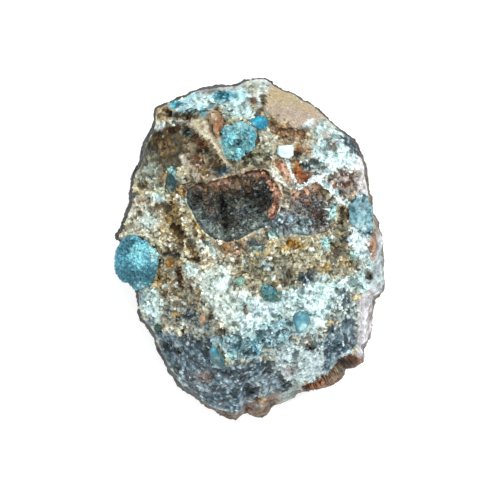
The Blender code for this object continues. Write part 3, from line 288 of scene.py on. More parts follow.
# Broad areas of one tint: tint, strength, softness of the edge, outline.
AREAS = [
    ("light_cream", 0.85, 1.2, [(-30.5, 12), (-27, 13), (-22, 12), (-21.5, 6.5), (-23.5, 2.5),
        (-29, 2.5), (-31.5, 7)]),
    ("sage_grey", 1, 0.8, [(-29.5, 18.5), (-28, 22), (-26, 22.5), (-21, 20), (-21, 16), (-25, 15),
        (-29, 16)]),
    # The facet area is partly the dark facet's own brown and partly painted shade, since the facet lies sunk
    # beside the ridge plate.
    ("facet", 1, 0.4, [(-24.5, 30), (-21, 30.5), (-18, 30), (-16.5, 28.5), (-17, 21), (-19, 20),
        (-21, 19), (-24, 22), (-26, 22), (-27, 24), (-26.5, 27)]),
    ("facet_grey", 0.9, 0.6, [(-26, 28.5), (-24, 29.5), (-23, 25), (-24, 21.5), (-26, 20), (-28, 20.5),
        (-27.5, 24.5)]),
    ("brown_mix", 1, 0.4, [(-17, 28), (-13.5, 29), (-9, 25), (-6, 20), (-12.5, 19), (-17, 25)]),
    ("putty", 1, 0.2, [(-15.8, 32), (-13, 33.5), (-10.5, 33), (-8.8, 31), (-6.8, 27.5), (-4, 20.5),
        (-5.8, 20), (-10.5, 26.2), (-16.2, 30.8)]),
    ("fin", 1, 0.1, [(-17.8, 23.8), (-15, 21.8), (-13.5, 20), (-14, 19), (-16, 19.2)]),
    # The umber band under the white and blue strip is partly brown stone and partly a painted shadow below
    # the strip's edge.
    ("umber", 1, 0.3, [(-22.5, 35), (-15, 34), (-13, 33), (-14, 32), (-22, 32)]),
    ("tan_brown", 1, 0.3, [(-24, 35), (-20.5, 36), (-19, 34.5), (-21, 32), (-23, 32.5)]),
    ("grey_cream", 1, 0.4, [(-24, 32), (-19, 33), (-16, 32), (-17, 30), (-21, 30), (-24, 30.5)]),
    ("knob", 1, 0.5, [(-2.5, 41), (0, 43), (4, 43), (5.5, 41), (5, 37.5), (3, 34.5), (0.5, 33),
        (-2.5, 34.5), (-2, 37.5)]),
    ("chalk", 1, 0.4, [(-7, 35.5), (-2.5, 36.5), (1, 34.5), (0.5, 32.5), (-3.5, 31.5), (-6.5, 32)]),
    ("icy", 1, 0.3, [(-20.5, 35.5), (-14, 39.5), (-9, 40), (-2.5, 41), (-1, 38), (-2, 35.5),
        (-9.5, 35.5), (-11, 33), (-13, 34), (-18, 34)]),
    ("strip_grey", 0.9, 0.3, [(-15, 39.5), (-2.5, 41), (-4, 39), (-9.5, 38), (-13.5, 38)]),
    ("chalk", 0.9, 0.3, [(-17, 35.5), (-14.5, 37), (-11, 38), (-9.5, 37), (-5.5, 36.5), (-2.5, 37.5),
        (-2, 36), (-15, 34.5)]),
    ("olive_dark", 1, 0.6, [(-3.5, 23), (0, 25.5), (3, 26), (6, 25), (7, 22.5), (4.5, 20), (0, 20),
        (-3.5, 20.5)]),
    ("light_cream", 0.8, 0.3, [(1.5, 30), (5, 30), (7, 28), (7, 26), (4.5, 25), (2, 26), (1, 28)]),
    ("tan", 1, 0.6, [(3, 35.5), (3.5, 38), (5.5, 41), (10.5, 39.5), (23.5, 29), (23, 28), (17, 31.5),
        (13, 28.5), (3, 33.5)]),
    ("mauve_tan", 0.85, 1.5, [(3, 35), (7.5, 35.5), (12.5, 35), (17, 33), (19, 30), (13, 29),
        (5.5, 32)]),
    ("rust", 1, 0.3, [(5, 32), (13.5, 28.5), (14, 27), (7.5, 26.5), (6, 28), (5, 30.5)]),
    ("putty", 0.9, 0.4, [(6.5, 27), (10.5, 26), (14, 27), (15, 25), (15, 22.5), (6.5, 22.5), (5, 25)]),
    ("chalk", 1, 1, [(15, 30.5), (17.5, 32), (24, 27.5), (28, 21), (25, 19.5), (20, 20), (17, 21),
        (15, 23)]),
    ("white", 1, 0.35, [(15.5, 23), (26.5, 23), (27.5, 21), (24, 20), (19, 19.5), (16, 21)]),
    ("pink_white", 0.9, 0.5, [(25.5, 23.5), (28, 23), (29.5, 20), (29.5, 12.5), (30.5, 9.5),
        (28, 12.5), (26.5, 16), (25.5, 19.5)]),
    ("corner_blue", 1, 0.35, [(22, 28), (24, 30), (27, 28), (29, 23), (26, 23.5), (23.5, 25)]),
    ("brick", 1, 0.3, [(5, 22), (8, 23), (10, 18), (10, 16), (6.5, 19)]),
    ("light_cream", 1, 0.3, [(5, 25), (8, 23), (12.5, 23), (12.5, 22), (9.5, 22), (4.5, 21)]),
    ("orange", 1, 0.3, [(10, 21.5), (12.5, 21), (16, 19), (16, 17), (12.5, 16.5), (11, 17)]),
    ("rough_grey", 1, 0.4, [(12.5, 22), (16, 22.5), (19, 21), (18, 19), (14.5, 18.5), (12.5, 20)]),
    ("mauve_brown", 1, 0.5, [(17.5, 17.5), (20.5, 19), (24, 20), (26, 17.5), (27, 14.5), (25.5, 12),
        (22.5, 13)]),
    ("dull_ochre", 1, 0.5, [(-20.5, 13), (-18.5, 13), (-17, 10), (-17, 2), (-19.5, 2), (-21, 7)]),
    ("honey_cream", 0.9, 0.6, [(-16.5, 11), (-14, 9.5), (-9.5, 3), (-11, 2), (-14.5, 4.5), (-16.5, 7)]),
    ("dark_olive", 0.9, 0.6, [(19.5, 7), (24, 6), (28, -3), (28, -6.5), (25, -6), (20, -1.5)]),
    ("white", 0.9, 0.6, [(24.5, 5), (28, 5), (30, 3), (30, -3.5), (27, -3), (24, 2)]),
    ("mauve_brown", 1, 0.5, [(7, 17.5), (10, 16), (12.5, 16), (9, 12), (9, 9), (10, 6), (8, 5.5),
        (5.5, 6), (8, 12.5)]),
    ("hollow_rose", 0.9, 0.5, [(10, 13.5), (12, 16), (15, 17), (17, 16.5), (18, 15), (15.5, 15),
        (12.5, 14), (10.5, 12)]),
    ("blue_slate", 0.9, 0.6, [(3, 6.5), (8, 9.5), (10.5, 3.5), (3, 2), (1, 3.5)]),
    ("white", 0.95, 0.1, [(11.2, 15.5), (16, 18.5), (18.8, 19.8), (21, 20), (20.5, 19), (18.2, 17.8),
        (22.8, 13), (25.2, 11.2), (24.2, 10), (21.8, 11.8), (19.2, 14), (17.2, 16.5), (14, 15.8),
        (12, 14.8)]),
    ("light_cream", 1, 0.1, [(4, 21.5), (5.8, 20.8), (9, 16.2), (10.5, 15), (9.2, 13.8), (7.5, 15),
        (5.8, 17.2), (4.5, 19.5)]),
    ("white", 0.9, 0.12, [(8.2, 22.8), (9.5, 22.2), (10.8, 18), (10, 17.2)]),
    ("rosy_grey", 0.85, 0.5, [(-15.5, 16.5), (-12.5, 18), (4, 21), (3, 19), (-9.5, 16.5), (-13.5, 16)]),
    ("orange", 0.75, 0.3, [(29, 5), (31, 5.5), (32, 1), (32, -3), (30, -3.5), (29, 0.5)]),
    ("ink", 0.9, 0.1, [(-10.8, -21.2), (-10, -21.2), (-10, -25.2), (-8.5, -28.2), (-4.5, -30.8),
        (-6.5, -31.5), (-9.5, -29.2), (-11, -25.5)]),
    ("cream", 1, 0.7, [(-11, 2), (-6, 1), (3, 4), (17.5, 2.5), (24, -3), (25, -6.5), (10, -10),
        (3, -10), (-1, -9), (-5.5, -1)]),
    ("dark_olive", 0.9, 0.7, [(-3, -1.5), (9.5, -3), (10.5, -9), (5, -9), (1, -8), (-2, -5)]),
    ("rust", 0.8, 0.5, [(-10, 2), (-7, 2), (-4, 1), (-0.5, 3), (-1, 0), (-4, -2), (-7, -1)]),
    ("honey_cream", 1, 0.6, [(3.5, 2), (12.5, 3), (13.5, 0), (17, -0.5), (17.5, -3), (6, -1)]),
    ("chalk", 1, 0.7, [(-13.5, -6), (-9.5, -5), (-6, -5), (-4, -8), (-5, -10), (3, -12.5),
        (12.5, -8.5), (22.5, -7), (25.5, -7.5), (28, -3), (30.5, -3), (31, -9.5), (28, -12), (24, -10),
        (21.5, -13), (18, -19), (12.5, -24), (10.5, -21.5), (10, -17), (6, -17.5), (3, -20), (0, -21),
        (-6, -20), (-9, -17.5), (-13, -10.5)]),
    ("light_cream", 0.45, 1.5, [(-15, -5.5), (-9.5, -4), (-5.5, -5.5), (-3, -8.5), (-2.5, -12.5),
        (-4.5, -20), (-9, -17.5), (-14, -10.5)]),
    ("low_grey", 1, 0.6, [(-23, -12), (-12.5, -15), (-9, -19), (-10, -22), (-14, -22), (-21, -19),
        (-24, -15.5)]),
    ("chalk", 0.85, 0.5, [(-28, -10), (-25, -10), (-23, -12.5), (-22.5, -20.5), (-28, -15.5)]),
    ("teal_grey", 1, 0.5, [(-10, -21), (0, -21), (7.5, -17), (10.5, -18), (10.5, -23), (9, -24.5),
        (4.5, -24.5), (2, -28), (-4.5, -28), (-6.5, -26), (-10, -24)]),
    ("low_white", 1, 0.6, [(4, -25), (12.5, -24), (17, -21), (19, -25), (18, -29), (19, -32.5),
        (17, -34), (13, -35), (7, -31), (5, -28)]),
    ("slate", 1, 0.6, [(-25.5, -20), (-11, -23), (-10, -25), (-9.5, -28), (-7, -30), (3, -28),
        (6, -30), (11, -35), (9, -38.5), (5, -39), (1, -38), (-0.5, -41), (-4.5, -43), (-12.5, -39),
        (-20, -32)]),
    ("pale_slate", 0.6, 0.6, [(-1, -33), (3, -31), (7.5, -32), (10.5, -34.5), (9, -37), (3, -37.5),
        (0, -37)]),
    ("stone_grey", 1, 0.5, [(20, -12.5), (24, -12), (26, -13), (27, -16), (24, -18), (21, -19),
        (20, -16)]),
    ("slate", 1, 0.4, [(18, -21.5), (21, -20), (24, -17.5), (26, -17), (26, -24), (25, -26.5),
        (22, -28), (20, -31), (18, -31), (18.5, -26)]),
    ("lilac", 0.9, 0.4, [(30.5, -2), (32, -1.5), (34, -3), (34, -10), (32.5, -12.5), (31, -12.5)]),
    ("pink_white", 0.9, 0.5, [(27, -12), (31, -11.5), (31, -20), (29, -28), (27, -25.5), (26, -21)]),
    ("rib_dark", 1, 0.25, [(13.2, -34.8), (15.5, -32.8), (18, -31.8), (20.8, -30), (23, -27.8),
        (25, -27), (26.8, -27.8), (25.5, -30), (20.8, -34.5), (16.5, -35.8)]),
    ("rosy_grey", 1, 0.4, [(-1, -38), (3, -37), (6, -38), (10.5, -36.5), (9.5, -38.5), (6, -39),
        (6, -41), (3, -42), (0, -42)]),
]

# Spots by tint: X, Y, half width, half height, turn in degrees, strength.
SPOTS = {
    "honey": [(13.8, 24.4, 1.2, 1.3, 0, 0.9)],
    "mauve_grey": [(-12.5, -32, 3.8, 2, 35, 0.4), (20.5, 26.2, 1.4, 1.3, 0, 0.8),
        (10, -30, 2, 1, 0, 0.8)],
    "pale_slate": [(-19.2, -25.2, 2.3, 2, 0, 0.5), (-11.2, -35.5, 2, 1.3, -30, 0.5),
        (-19.5, -24.8, 1, 1, 0, 0.8), (-21.8, -23.8, 1, 1.3, 0, 0.7), (-6.5, -32.2, 0.9, 1.3, 0, 0.7),
        (-2.2, -38, 1.1, 1, 30, 0.8)],
    "umber": [(3.1, 36.8, 0.6, 0.9, 0, 1), (-13.8, -1, 0.5, 2.8, 34, 1), (-6.5, 0.2, 2, 1.3, 0, 0.5),
        (-12.5, 16.8, 1.3, 0.8, 15, 0.8), (-21, 33.5, 1.3, 0.8, 0, 0.9),
        (-10.8, 24.8, 1.3, 0.8, -35, 0.9), (-12.8, 24.5, 0.6, 1.3, 10, 0.9),
        (-10, 20.5, 1.8, 0.5, 0, 0.6), (-27, 16.2, 1, 0.6, 0, 0.8), (-24.8, 10.2, 1, 0.7, 0, 0.7),
        (-28, 8.5, 1.3, 0.5, 20, 0.7), (-22.5, 4.8, 1.5, 0.6, 20, 0.6), (-17.5, 4, 0.6, 2, 0, 1),
        (-20.5, -0.8, 1.5, 0.7, 15, 0.9), (-15, -7.8, 1, 0.6, 0, 0.7), (-15.8, -9.8, 1.8, 0.5, 0, 0.7),
        (-12.8, -10.5, 0.4, 1.3, 0, 0.9), (-18, -13.8, 3, 0.5, -8, 0.8), (2.8, 21, 1.3, 0.5, 0, 0.8),
        (-0.2, 22.8, 0.8, 1, 0, 0.8), (2, 23.2, 1.5, 0.5, -10, 0.7), (22.5, 14.5, 1.3, 0.7, -30, 0.8),
        (21.2, -0.8, 1, 1.5, 15, 0.9), (26.8, -4.5, 1, 1.1, 0, 0.9), (29.5, -6.5, 0.9, 1.5, 15, 0.9),
        (-6, -0.2, 1.3, 0.8, -20, 0.8), (-2.5, 1, 1.3, 1, 0, 0.8), (8, -2, 1.3, 0.5, 0, 0.7),
        (13.8, -0.8, 1.5, 0.4, -10, 0.7), (-0.5, -0.5, 1.5, 0.6, 0, 0.8), (5, -3.2, 1.5, 0.5, -10, 0.8),
        (10, -6.2, 0.8, 1.5, 0, 0.8), (2.5, -6.5, 1.5, 0.5, -15, 0.8), (-0.5, -6, 1.8, 0.5, -20, 0.8),
        (8.5, -8.5, 1.3, 0.7, -20, 0.8), (-7.5, -20.8, 1.5, 0.5, 0, 0.8),
        (-10, -16.2, 0.9, 1.3, -20, 0.8), (-21, -14.5, 0.8, 1.5, -20, 0.6), (22.5, 0.8, 1.5, 1, 10, 0.6)],
    "black": [(11.5, 23.6, 1, 1.6, -18, 1), (-20, -1, 2, 0.8, 15, 0.8), (1.2, -35.5, 1, 0.8, 0, 0.8),
        (15, -24, 1.6, 1.3, 0, 1), (-29.2, 13.5, 0.6, 1, 0, 0.9), (-29.8, 11.8, 0.8, 0.6, 0, 0.9),
        # The black spot at (-18.5, -1.2) is a painted shadow in the upright cleft, cast by the block to its
        # right.
        (-18.5, -1.2, 0.6, 1, 0, 0.9), (-14.2, -13.8, 0.8, 0.9, 0, 0.8), (22.8, 8, 0.5, 2, 4, 0.7),
        (23.2, 2.5, 1.3, 0.8, 0, 0.8), (-4, -35.5, 0.9, 1.1, 0, 0.9), (-0.5, -35.2, 0.8, 1.3, 0, 0.9),
        (19.8, -19.5, 0.9, 1, 0, 1)],
    "ink": [(-7, 19.4, 2.3, 1.1, 14, 1), (-16, 29, 1.1, 1, 0, 1)],
    # The first rust_dark spot is a painted shadow down the upright cleft, cast by the block to its right.
    "rust_dark": [(-17.6, -6.5, 0.6, 3.5, 3, 1), (-20, 29.8, 2.3, 0.7, 5, 0.8),
        (-11.8, 3, 0.9, 0.8, -30, 0.9), (-12.8, -3, 0.7, 1.1, 30, 1), (7.2, 29, 0.7, 1.5, -10, 1)],
    "teal_blue": [(-2, -24.2, 3.3, 1.5, 15, 0.6), (1, -25.5, 1.6, 1.3, -15, 0.9),
        (2.8, -22, 1.5, 1.1, 0, 0.7)],
    "hazel": [(-7, 0.8, 2, 1.5, 0, 0.9), (-22.5, 27.2, 2, 1, 0, 0.6), (-17.2, 14.2, 1.3, 1, 0, 0.9),
        (-26.8, 11.8, 1.5, 0.6, 0, 0.7), (-19.2, -9, 1, 1.3, 0, 0.8), (0.8, 35.5, 0.8, 1.3, 0, 0.6)],
    "white": [(14, 31, 0.6, 2.3, -40, 0.8), (-22.5, 30.8, 1.5, 0.8, 30, 0.6),
        (-16.8, 12, 1.5, 0.7, 10, 0.6), (23.2, 25.5, 1.3, 0.8, -20, 0.8), (-7, -8.8, 2, 1.5, 0, 0.9),
        (3.8, -14.5, 3.5, 1.8, 5, 0.9), (0, -18, 3, 1.5, 10, 0.8), (16.2, -14, 2.3, 1.3, 0, 0.9),
        (23.8, -8, 2, 1, 0, 0.8), (17, -17.8, 1.3, 2, 0, 0.9), (14, -10, 2.3, 1, 0, 0.7),
        (20, -10.8, 2.3, 1, 0, 0.7), (-25, -15.2, 1.3, 1.5, 0, 0.7), (33, -8.5, 0.6, 1.5, 0, 0.7),
        (24, -26.1, 2, 0.4, 27, 0.9)],
    "navy": [(14, -7.2, 1.8, 1.2, 20, 0.9), (-15, -23, 3.5, 1.3, -5, 0.8),
        (-20.5, -25, 1.5, 2.3, 20, 0.7), (-4.5, -30, 3.5, 1.5, 0, 0.8), (3, -29.5, 2.5, 1, -20, 0.7),
        (-11.2, -31.2, 3, 1.8, -30, 0.6), (8.8, -34.5, 1.3, 1.8, 30, 0.6), (-3.5, -37, 1.3, 3, -20, 0.6),
        (-7, -36.2, 1.5, 1.5, 0, 0.6), (24.2, -15.8, 0.8, 1.5, 0, 0.7), (23.8, -12.5, 1.5, 1, 60, 0.8),
        (20, -20, 1.5, 0.9, 30, 0.8), (22, -24, 1.8, 1.5, 0, 0.6), (0.5, 1.5, 1.4, 1, 10, 0.9),
        (2.5, 0.8, 1.3, 0.9, -10, 0.9), (13.5, -7.2, 1.4, 1.3, 0, 1), (15.8, -5.8, 1, 0.7, 10, 0.9),
        (-15.2, -16.2, 1.5, 1.2, 0, 1), (-13.5, -18, 1, 0.8, 0, 0.7), (-10.8, -19.2, 0.8, 1.3, 0, 0.9),
        (-13.5, -23.5, 2.3, 1, 0, 0.9), (-1.2, -29.5, 3.5, 1.2, 5, 0.9), (3.8, -28.5, 1.8, 1, 0, 0.8),
        (7, -31.8, 1, 1.5, 10, 0.7), (8.2, -35.2, 0.8, 1.3, 0, 0.7), (5, -35.8, 1, 1, 0, 0.7),
        (-9, -37, 1.3, 1, 0, 0.6), (-17.5, -25.5, 1.3, 1, 0, 0.6), (-11, -26, 1, 1.5, 0, 0.6),
        (20.8, -23.8, 1.5, 1.5, 0, 0.9), (19.2, -26.2, 1, 1.3, 0, 0.8), (24.5, -18.2, 1.3, 1, 0, 0.7)],
    "dark_earth": [(-15, 15, 1.3, 1.3, 0, 0.9), (-21.8, 18, 1, 2.3, 0, 0.9),
        (-18.5, 15.8, 1, 1.3, 0, 0.9), (-21, 8.8, 1, 2.5, 0, 0.7), (-19.5, 6, 1.3, 1.3, 0, 0.8),
        (-21.8, -10.8, 1.5, 0.7, -15, 0.8), (-1.2, -15.2, 0.8, 1, 0, 0.8)],
    "dark_olive": [(-15, 10.5, 1.5, 2.8, 0, 0.7)],
    "teal_grey": [(27.5, 12.5, 2, 1.3, 0, 0.9), (29, 4.5, 1.8, 1.5, 0, 0.8)],
    "icy": [(24.8, 8.8, 1, 2, 0, 0.7)],
    "pale_teal": [(20.5, 9.5, 1.1, 2.3, -10, 1), (6, 3.8, 1.5, 0.9, 0, 0.9),
        (18.8, 1.5, 1.4, 1.6, 0, 0.9), (25.8, -1.5, 1.3, 1, 20, 0.7), (-4.5, -26.8, 1.6, 1.2, 0, 0.7),
        (-1, -23.8, 1.5, 1, 0, 0.5)],
    "sky": [(-18.5, 36.2, 1.8, 0.9, 10, 1), (-7, 38, 2.5, 1.2, 5, 1), (-11.8, 34.2, 0.9, 1.3, 20, 0.8)],
    "facet_grey": [(-10, 39.5, 2.3, 0.8, 0, 0.6), (-26.2, 23.2, 1, 3.3, -15, 0.7)],
    "olive_dark": [(0.5, 40, 1.5, 1, 30, 0.8), (-5, 32.2, 1.5, 1.1, 0, 0.8)],
    "liver": [(0.8, 37, 0.8, 1, 0, 0.9), (-13.8, 28, 1, 0.7, -30, 0.9), (-13.5, 22.5, 0.9, 1.3, 10, 0.9),
        (-13.2, 20.8, 0.9, 1, 20, 0.9), (12, 24.9, 1, 0.9, 0, 1)],
    "facet_brown": [(-21, 26, 2, 2.3, 0, 0.9)],
    "sage_grey": [(-24.5, 22.5, 1.3, 1.8, 0, 0.7)],
    "stone_grey": [(-25, 20.2, 1.5, 1, 0, 0.6)],
    "rust_red": [(-12.2, 26, 1.5, 0.8, -25, 0.9), (21, 15.8, 1, 0.8, -15, 0.9),
        (24.8, 17, 1, 1.5, 0, 0.4)],
    "chalk": [(-23, 12.5, 2, 1.1, -20, 0.9), (-25.5, 7, 2.3, 2, 20, 0.6), (-10.8, 1, 1.8, 1, 0, 0.7),
        (-15, -5, 1.8, 2, 0, 0.8), (-9, -0.5, 1.3, 1.3, 0, 0.7), (3.8, -4, 1.5, 1, 0, 0.6),
        (32.5, -0.5, 0.5, 2, 4, 0.8)],
    "ochre": [(-13, 5.5, 1.3, 0.8, -30, 0.8), (-23.2, -6.8, 0.8, 1.8, 5, 0.9),
        (7.8, 0.5, 1.5, 0.6, 0, 0.8), (12.2, 0.8, 1, 1, 0, 0.8), (19, -4.5, 1.3, 0.9, 0, 0.9)],
    "deep_ochre": [(-19.8, -3.5, 0.9, 1.4, 10, 1), (24, 8.5, 0.6, 2.3, 0, 0.9),
        (10.2, 1.8, 1.4, 1, -10, 1)],
    "dull_ochre": [(-21, -6.8, 1.5, 1.5, 0, 0.8)],
    "mauve_tan": [(18.8, 28.5, 1.1, 1.1, 0, 0.8)],
    "grey_teal": [(1.5, 0, 1.5, 0.8, 0, 0.8)],
    "light_cream": [(6.8, -5.8, 1.3, 1.3, 0, 0.5), (-16.9, 22.4, 0.5, 1.3, 32, 0.9)],
    "tan_brown": [(-18.5, -16, 1.1, 1.5, 0, 0.8)],
    "slate": [(-27, -12.5, 0.8, 2, 0, 0.8), (-25, -18, 1.1, 0.9, 0, 0.9), (23.2, -11, 1.3, 1.4, 0, 0.9)],
    "rosy_grey": [(-11.2, -31.8, 2.3, 1.3, 0, 0.5)],
    "mauve_brown": [(14, -22.8, 1.3, 1, 0, 0.7)],
    "rough_grey": [(16.5, -23.2, 1, 1.3, 0, 0.7)],
    "rib_dark": [(23.5, -27, 1.8, 0.4, 30, 0.8)],
}

# The side's tints, by direction in degrees.
SKIN = [
    (60, "slate"), (100, "slate"), (140, "slate"), (180, "facet_grey"), (215, "slate"), (240, "slate"),
    (262, "rosy_grey"), (279, "rosy_grey"), (284, "stone_grey"), (290, "stone_grey"), (292, "rib_rust"),
    (314, "rib_rust"), (317, "pink_white"), (340, "pink_white"), (346, "low_white"), (358, "low_white"),
    (6, "pink_white"), (14, "rosy_grey"), (36, "rosy_grey"), (50, "slate"),
]

# Each crust's tints: base, areas, spots.
CRUST_PAINT = {
    "vug_crust": ("vug_grey", [
        ("vug_brown", 1, 0.8, [(-15.8, 15), (-13.5, 17), (-8.8, 18.5), (-3, 20), (4, 21), (6, 18.5),
        (5.4, 16), (1, 15.6), (-4, 15), (-9, 13.4), (-12, 12.8), (-14, 13)]),
        ("vug_lower", 1, 0.8, [(-15, 10.5), (-12.5, 9), (-10, 7.5), (-6.5, 6.8), (-2, 7.2), (1.5, 8.4),
        (4, 9.4), (6.6, 9.8), (6, 7), (0.5, 3.5), (-6, 0.5), (-11, 2), (-14, 6)]),
        # The black area along the right wall, beside and below the rosy ledge, is a painted shadow of the
        # ledge.
        ("black", 0.9, 0.5, [(-2, 13.4), (0.5, 14.4), (2.6, 17.6), (4.4, 17.4), (5.8, 14), (5.4, 10.4),
        (4.6, 8.2), (2.4, 9.4), (0, 10.6)]),
        ("salmon", 1, 0.3, [(5, 19.6), (8.2, 17), (9, 13), (7.4, 8.6), (4.6, 7.4), (5, 9.6), (6, 12.6),
        (5.4, 15.6)]),
    ], {
        "rosy_grey": [(-10.6, 11.2, 1.8, 4, 8, 0.55), (-4.4, 6.4, 1.2, 1, 0, 0.7)],
        # The black spots are painted shade in the crust's groove and pits.
        "black": [(-7, 9.4, 0.9, 4, 0, 0.85), (-5.8, 6, 0.7, 1.8, 30, 0.8),
        (-13.4, 13.4, 1.2, 1.6, 0, 0.7)], "vug_brown": [(-2.4, 14.4, 4.4, 1, 6, 0.9)],
        "sage_grey": [(-3.2, 11.6, 1.3, 2, 0, 0.6)], "blue_slate": [(-2.4, 9, 2.6, 1.1, 12, 0.7),
        (-10.6, 6.8, 1.8, 1.6, 0, 0.5)], "salmon": [(-7.4, 16.6, 3, 0.5, 9, 0.7),
        (1, 18.6, 2, 0.5, 14, 0.6)], "pale_slate": [(-3, 4.2, 1.8, 0.6, 10, 0.4)],
    }),
    "hollow_crust": ("hollow_grey", [
        ("hollow_rose", 1, 0.6, [(10, 13), (12.5, 15.2), (14.6, 16.6), (17, 15), (17.4, 12.4), (15, 11.8),
        (12, 11), (10.6, 10.6)]),
        # The black area is painted shade in the hollow's deepest pit.
        ("black", 0.85, 0.6, [(16, 10.6), (18.2, 10), (19.8, 7.6), (18.8, 4.4), (16, 4.2), (14.6, 6.4),
        (15, 8.8)]),
        ("hollow_blue", 1, 0.6, [(8, 6), (9.4, 3.8), (14, 3.4), (15, 5), (12.6, 7.6), (9.8, 9)]),
        ("liver", 0.8, 0.3, [(12.6, 11.2), (14.8, 10.6), (17.2, 9.4), (19.2, 8.6), (19, 7.4), (16.6, 8.2),
        (14.4, 9.2), (12.8, 10)]),
    ], {
        "pale_teal": [(19.8, 9.4, 0.9, 1.8, -10, 0.95)], "salmon": [(12.4, 13.4, 1.6, 1, 20, 0.5)],
        "pale_slate": [(17, 11, 0.8, 0.8, 0, 0.8)], "navy": [(15.8, 12.8, 1.1, 1.3, 0, 0.8)],
        "chalk": [(12, 8, 1.4, 0.5, -10, 0.5), (11.4, 5.4, 1.6, 0.5, 20, 0.4)],
        "black": [(12.4, 6.4, 0.9, 0.5, 0, 0.6)],
    }),
}

# Each crust's lumps and pits: middle, half length and half width, turn, and how far they stand out.
CRUST_LUMPS = {
    "vug_crust": [
        ((-6.6, 8.5), 0.8, 5, 4, -1.8), ((-10.4, 9), 2.4, 4.6, 10, 1.6), ((-4, 15.4), 6, 1.5, 8, 1.5),
        ((0.9, 12.4), 2.8, 2.2, 0, -1.8), ((-1, 7.6), 3.6, 2, -20, 1.5), ((-8.6, 4.4), 2, 1.6, 0, 0.8),
        ((-13.4, 12.6), 1.4, 2, 0, -0.8), ((3.4, 15.4), 1.2, 2, 0, -1.2),
    ],
    "hollow_crust": [
        ((16.8, 9.4), 1.6, 2, 0, -1.4), ((19, 9.6), 0.9, 1.8, 0, 1.0), ((12.4, 13.2), 2, 1.1, 30, 0.9),
        ((16.2, 13), 1.3, 1.1, 0, 0.9), ((11.4, 6.8), 2.4, 1.3, 0, 0.8), ((13.6, 10.4), 1.6, 0.9, 0, -0.8),
    ],
}

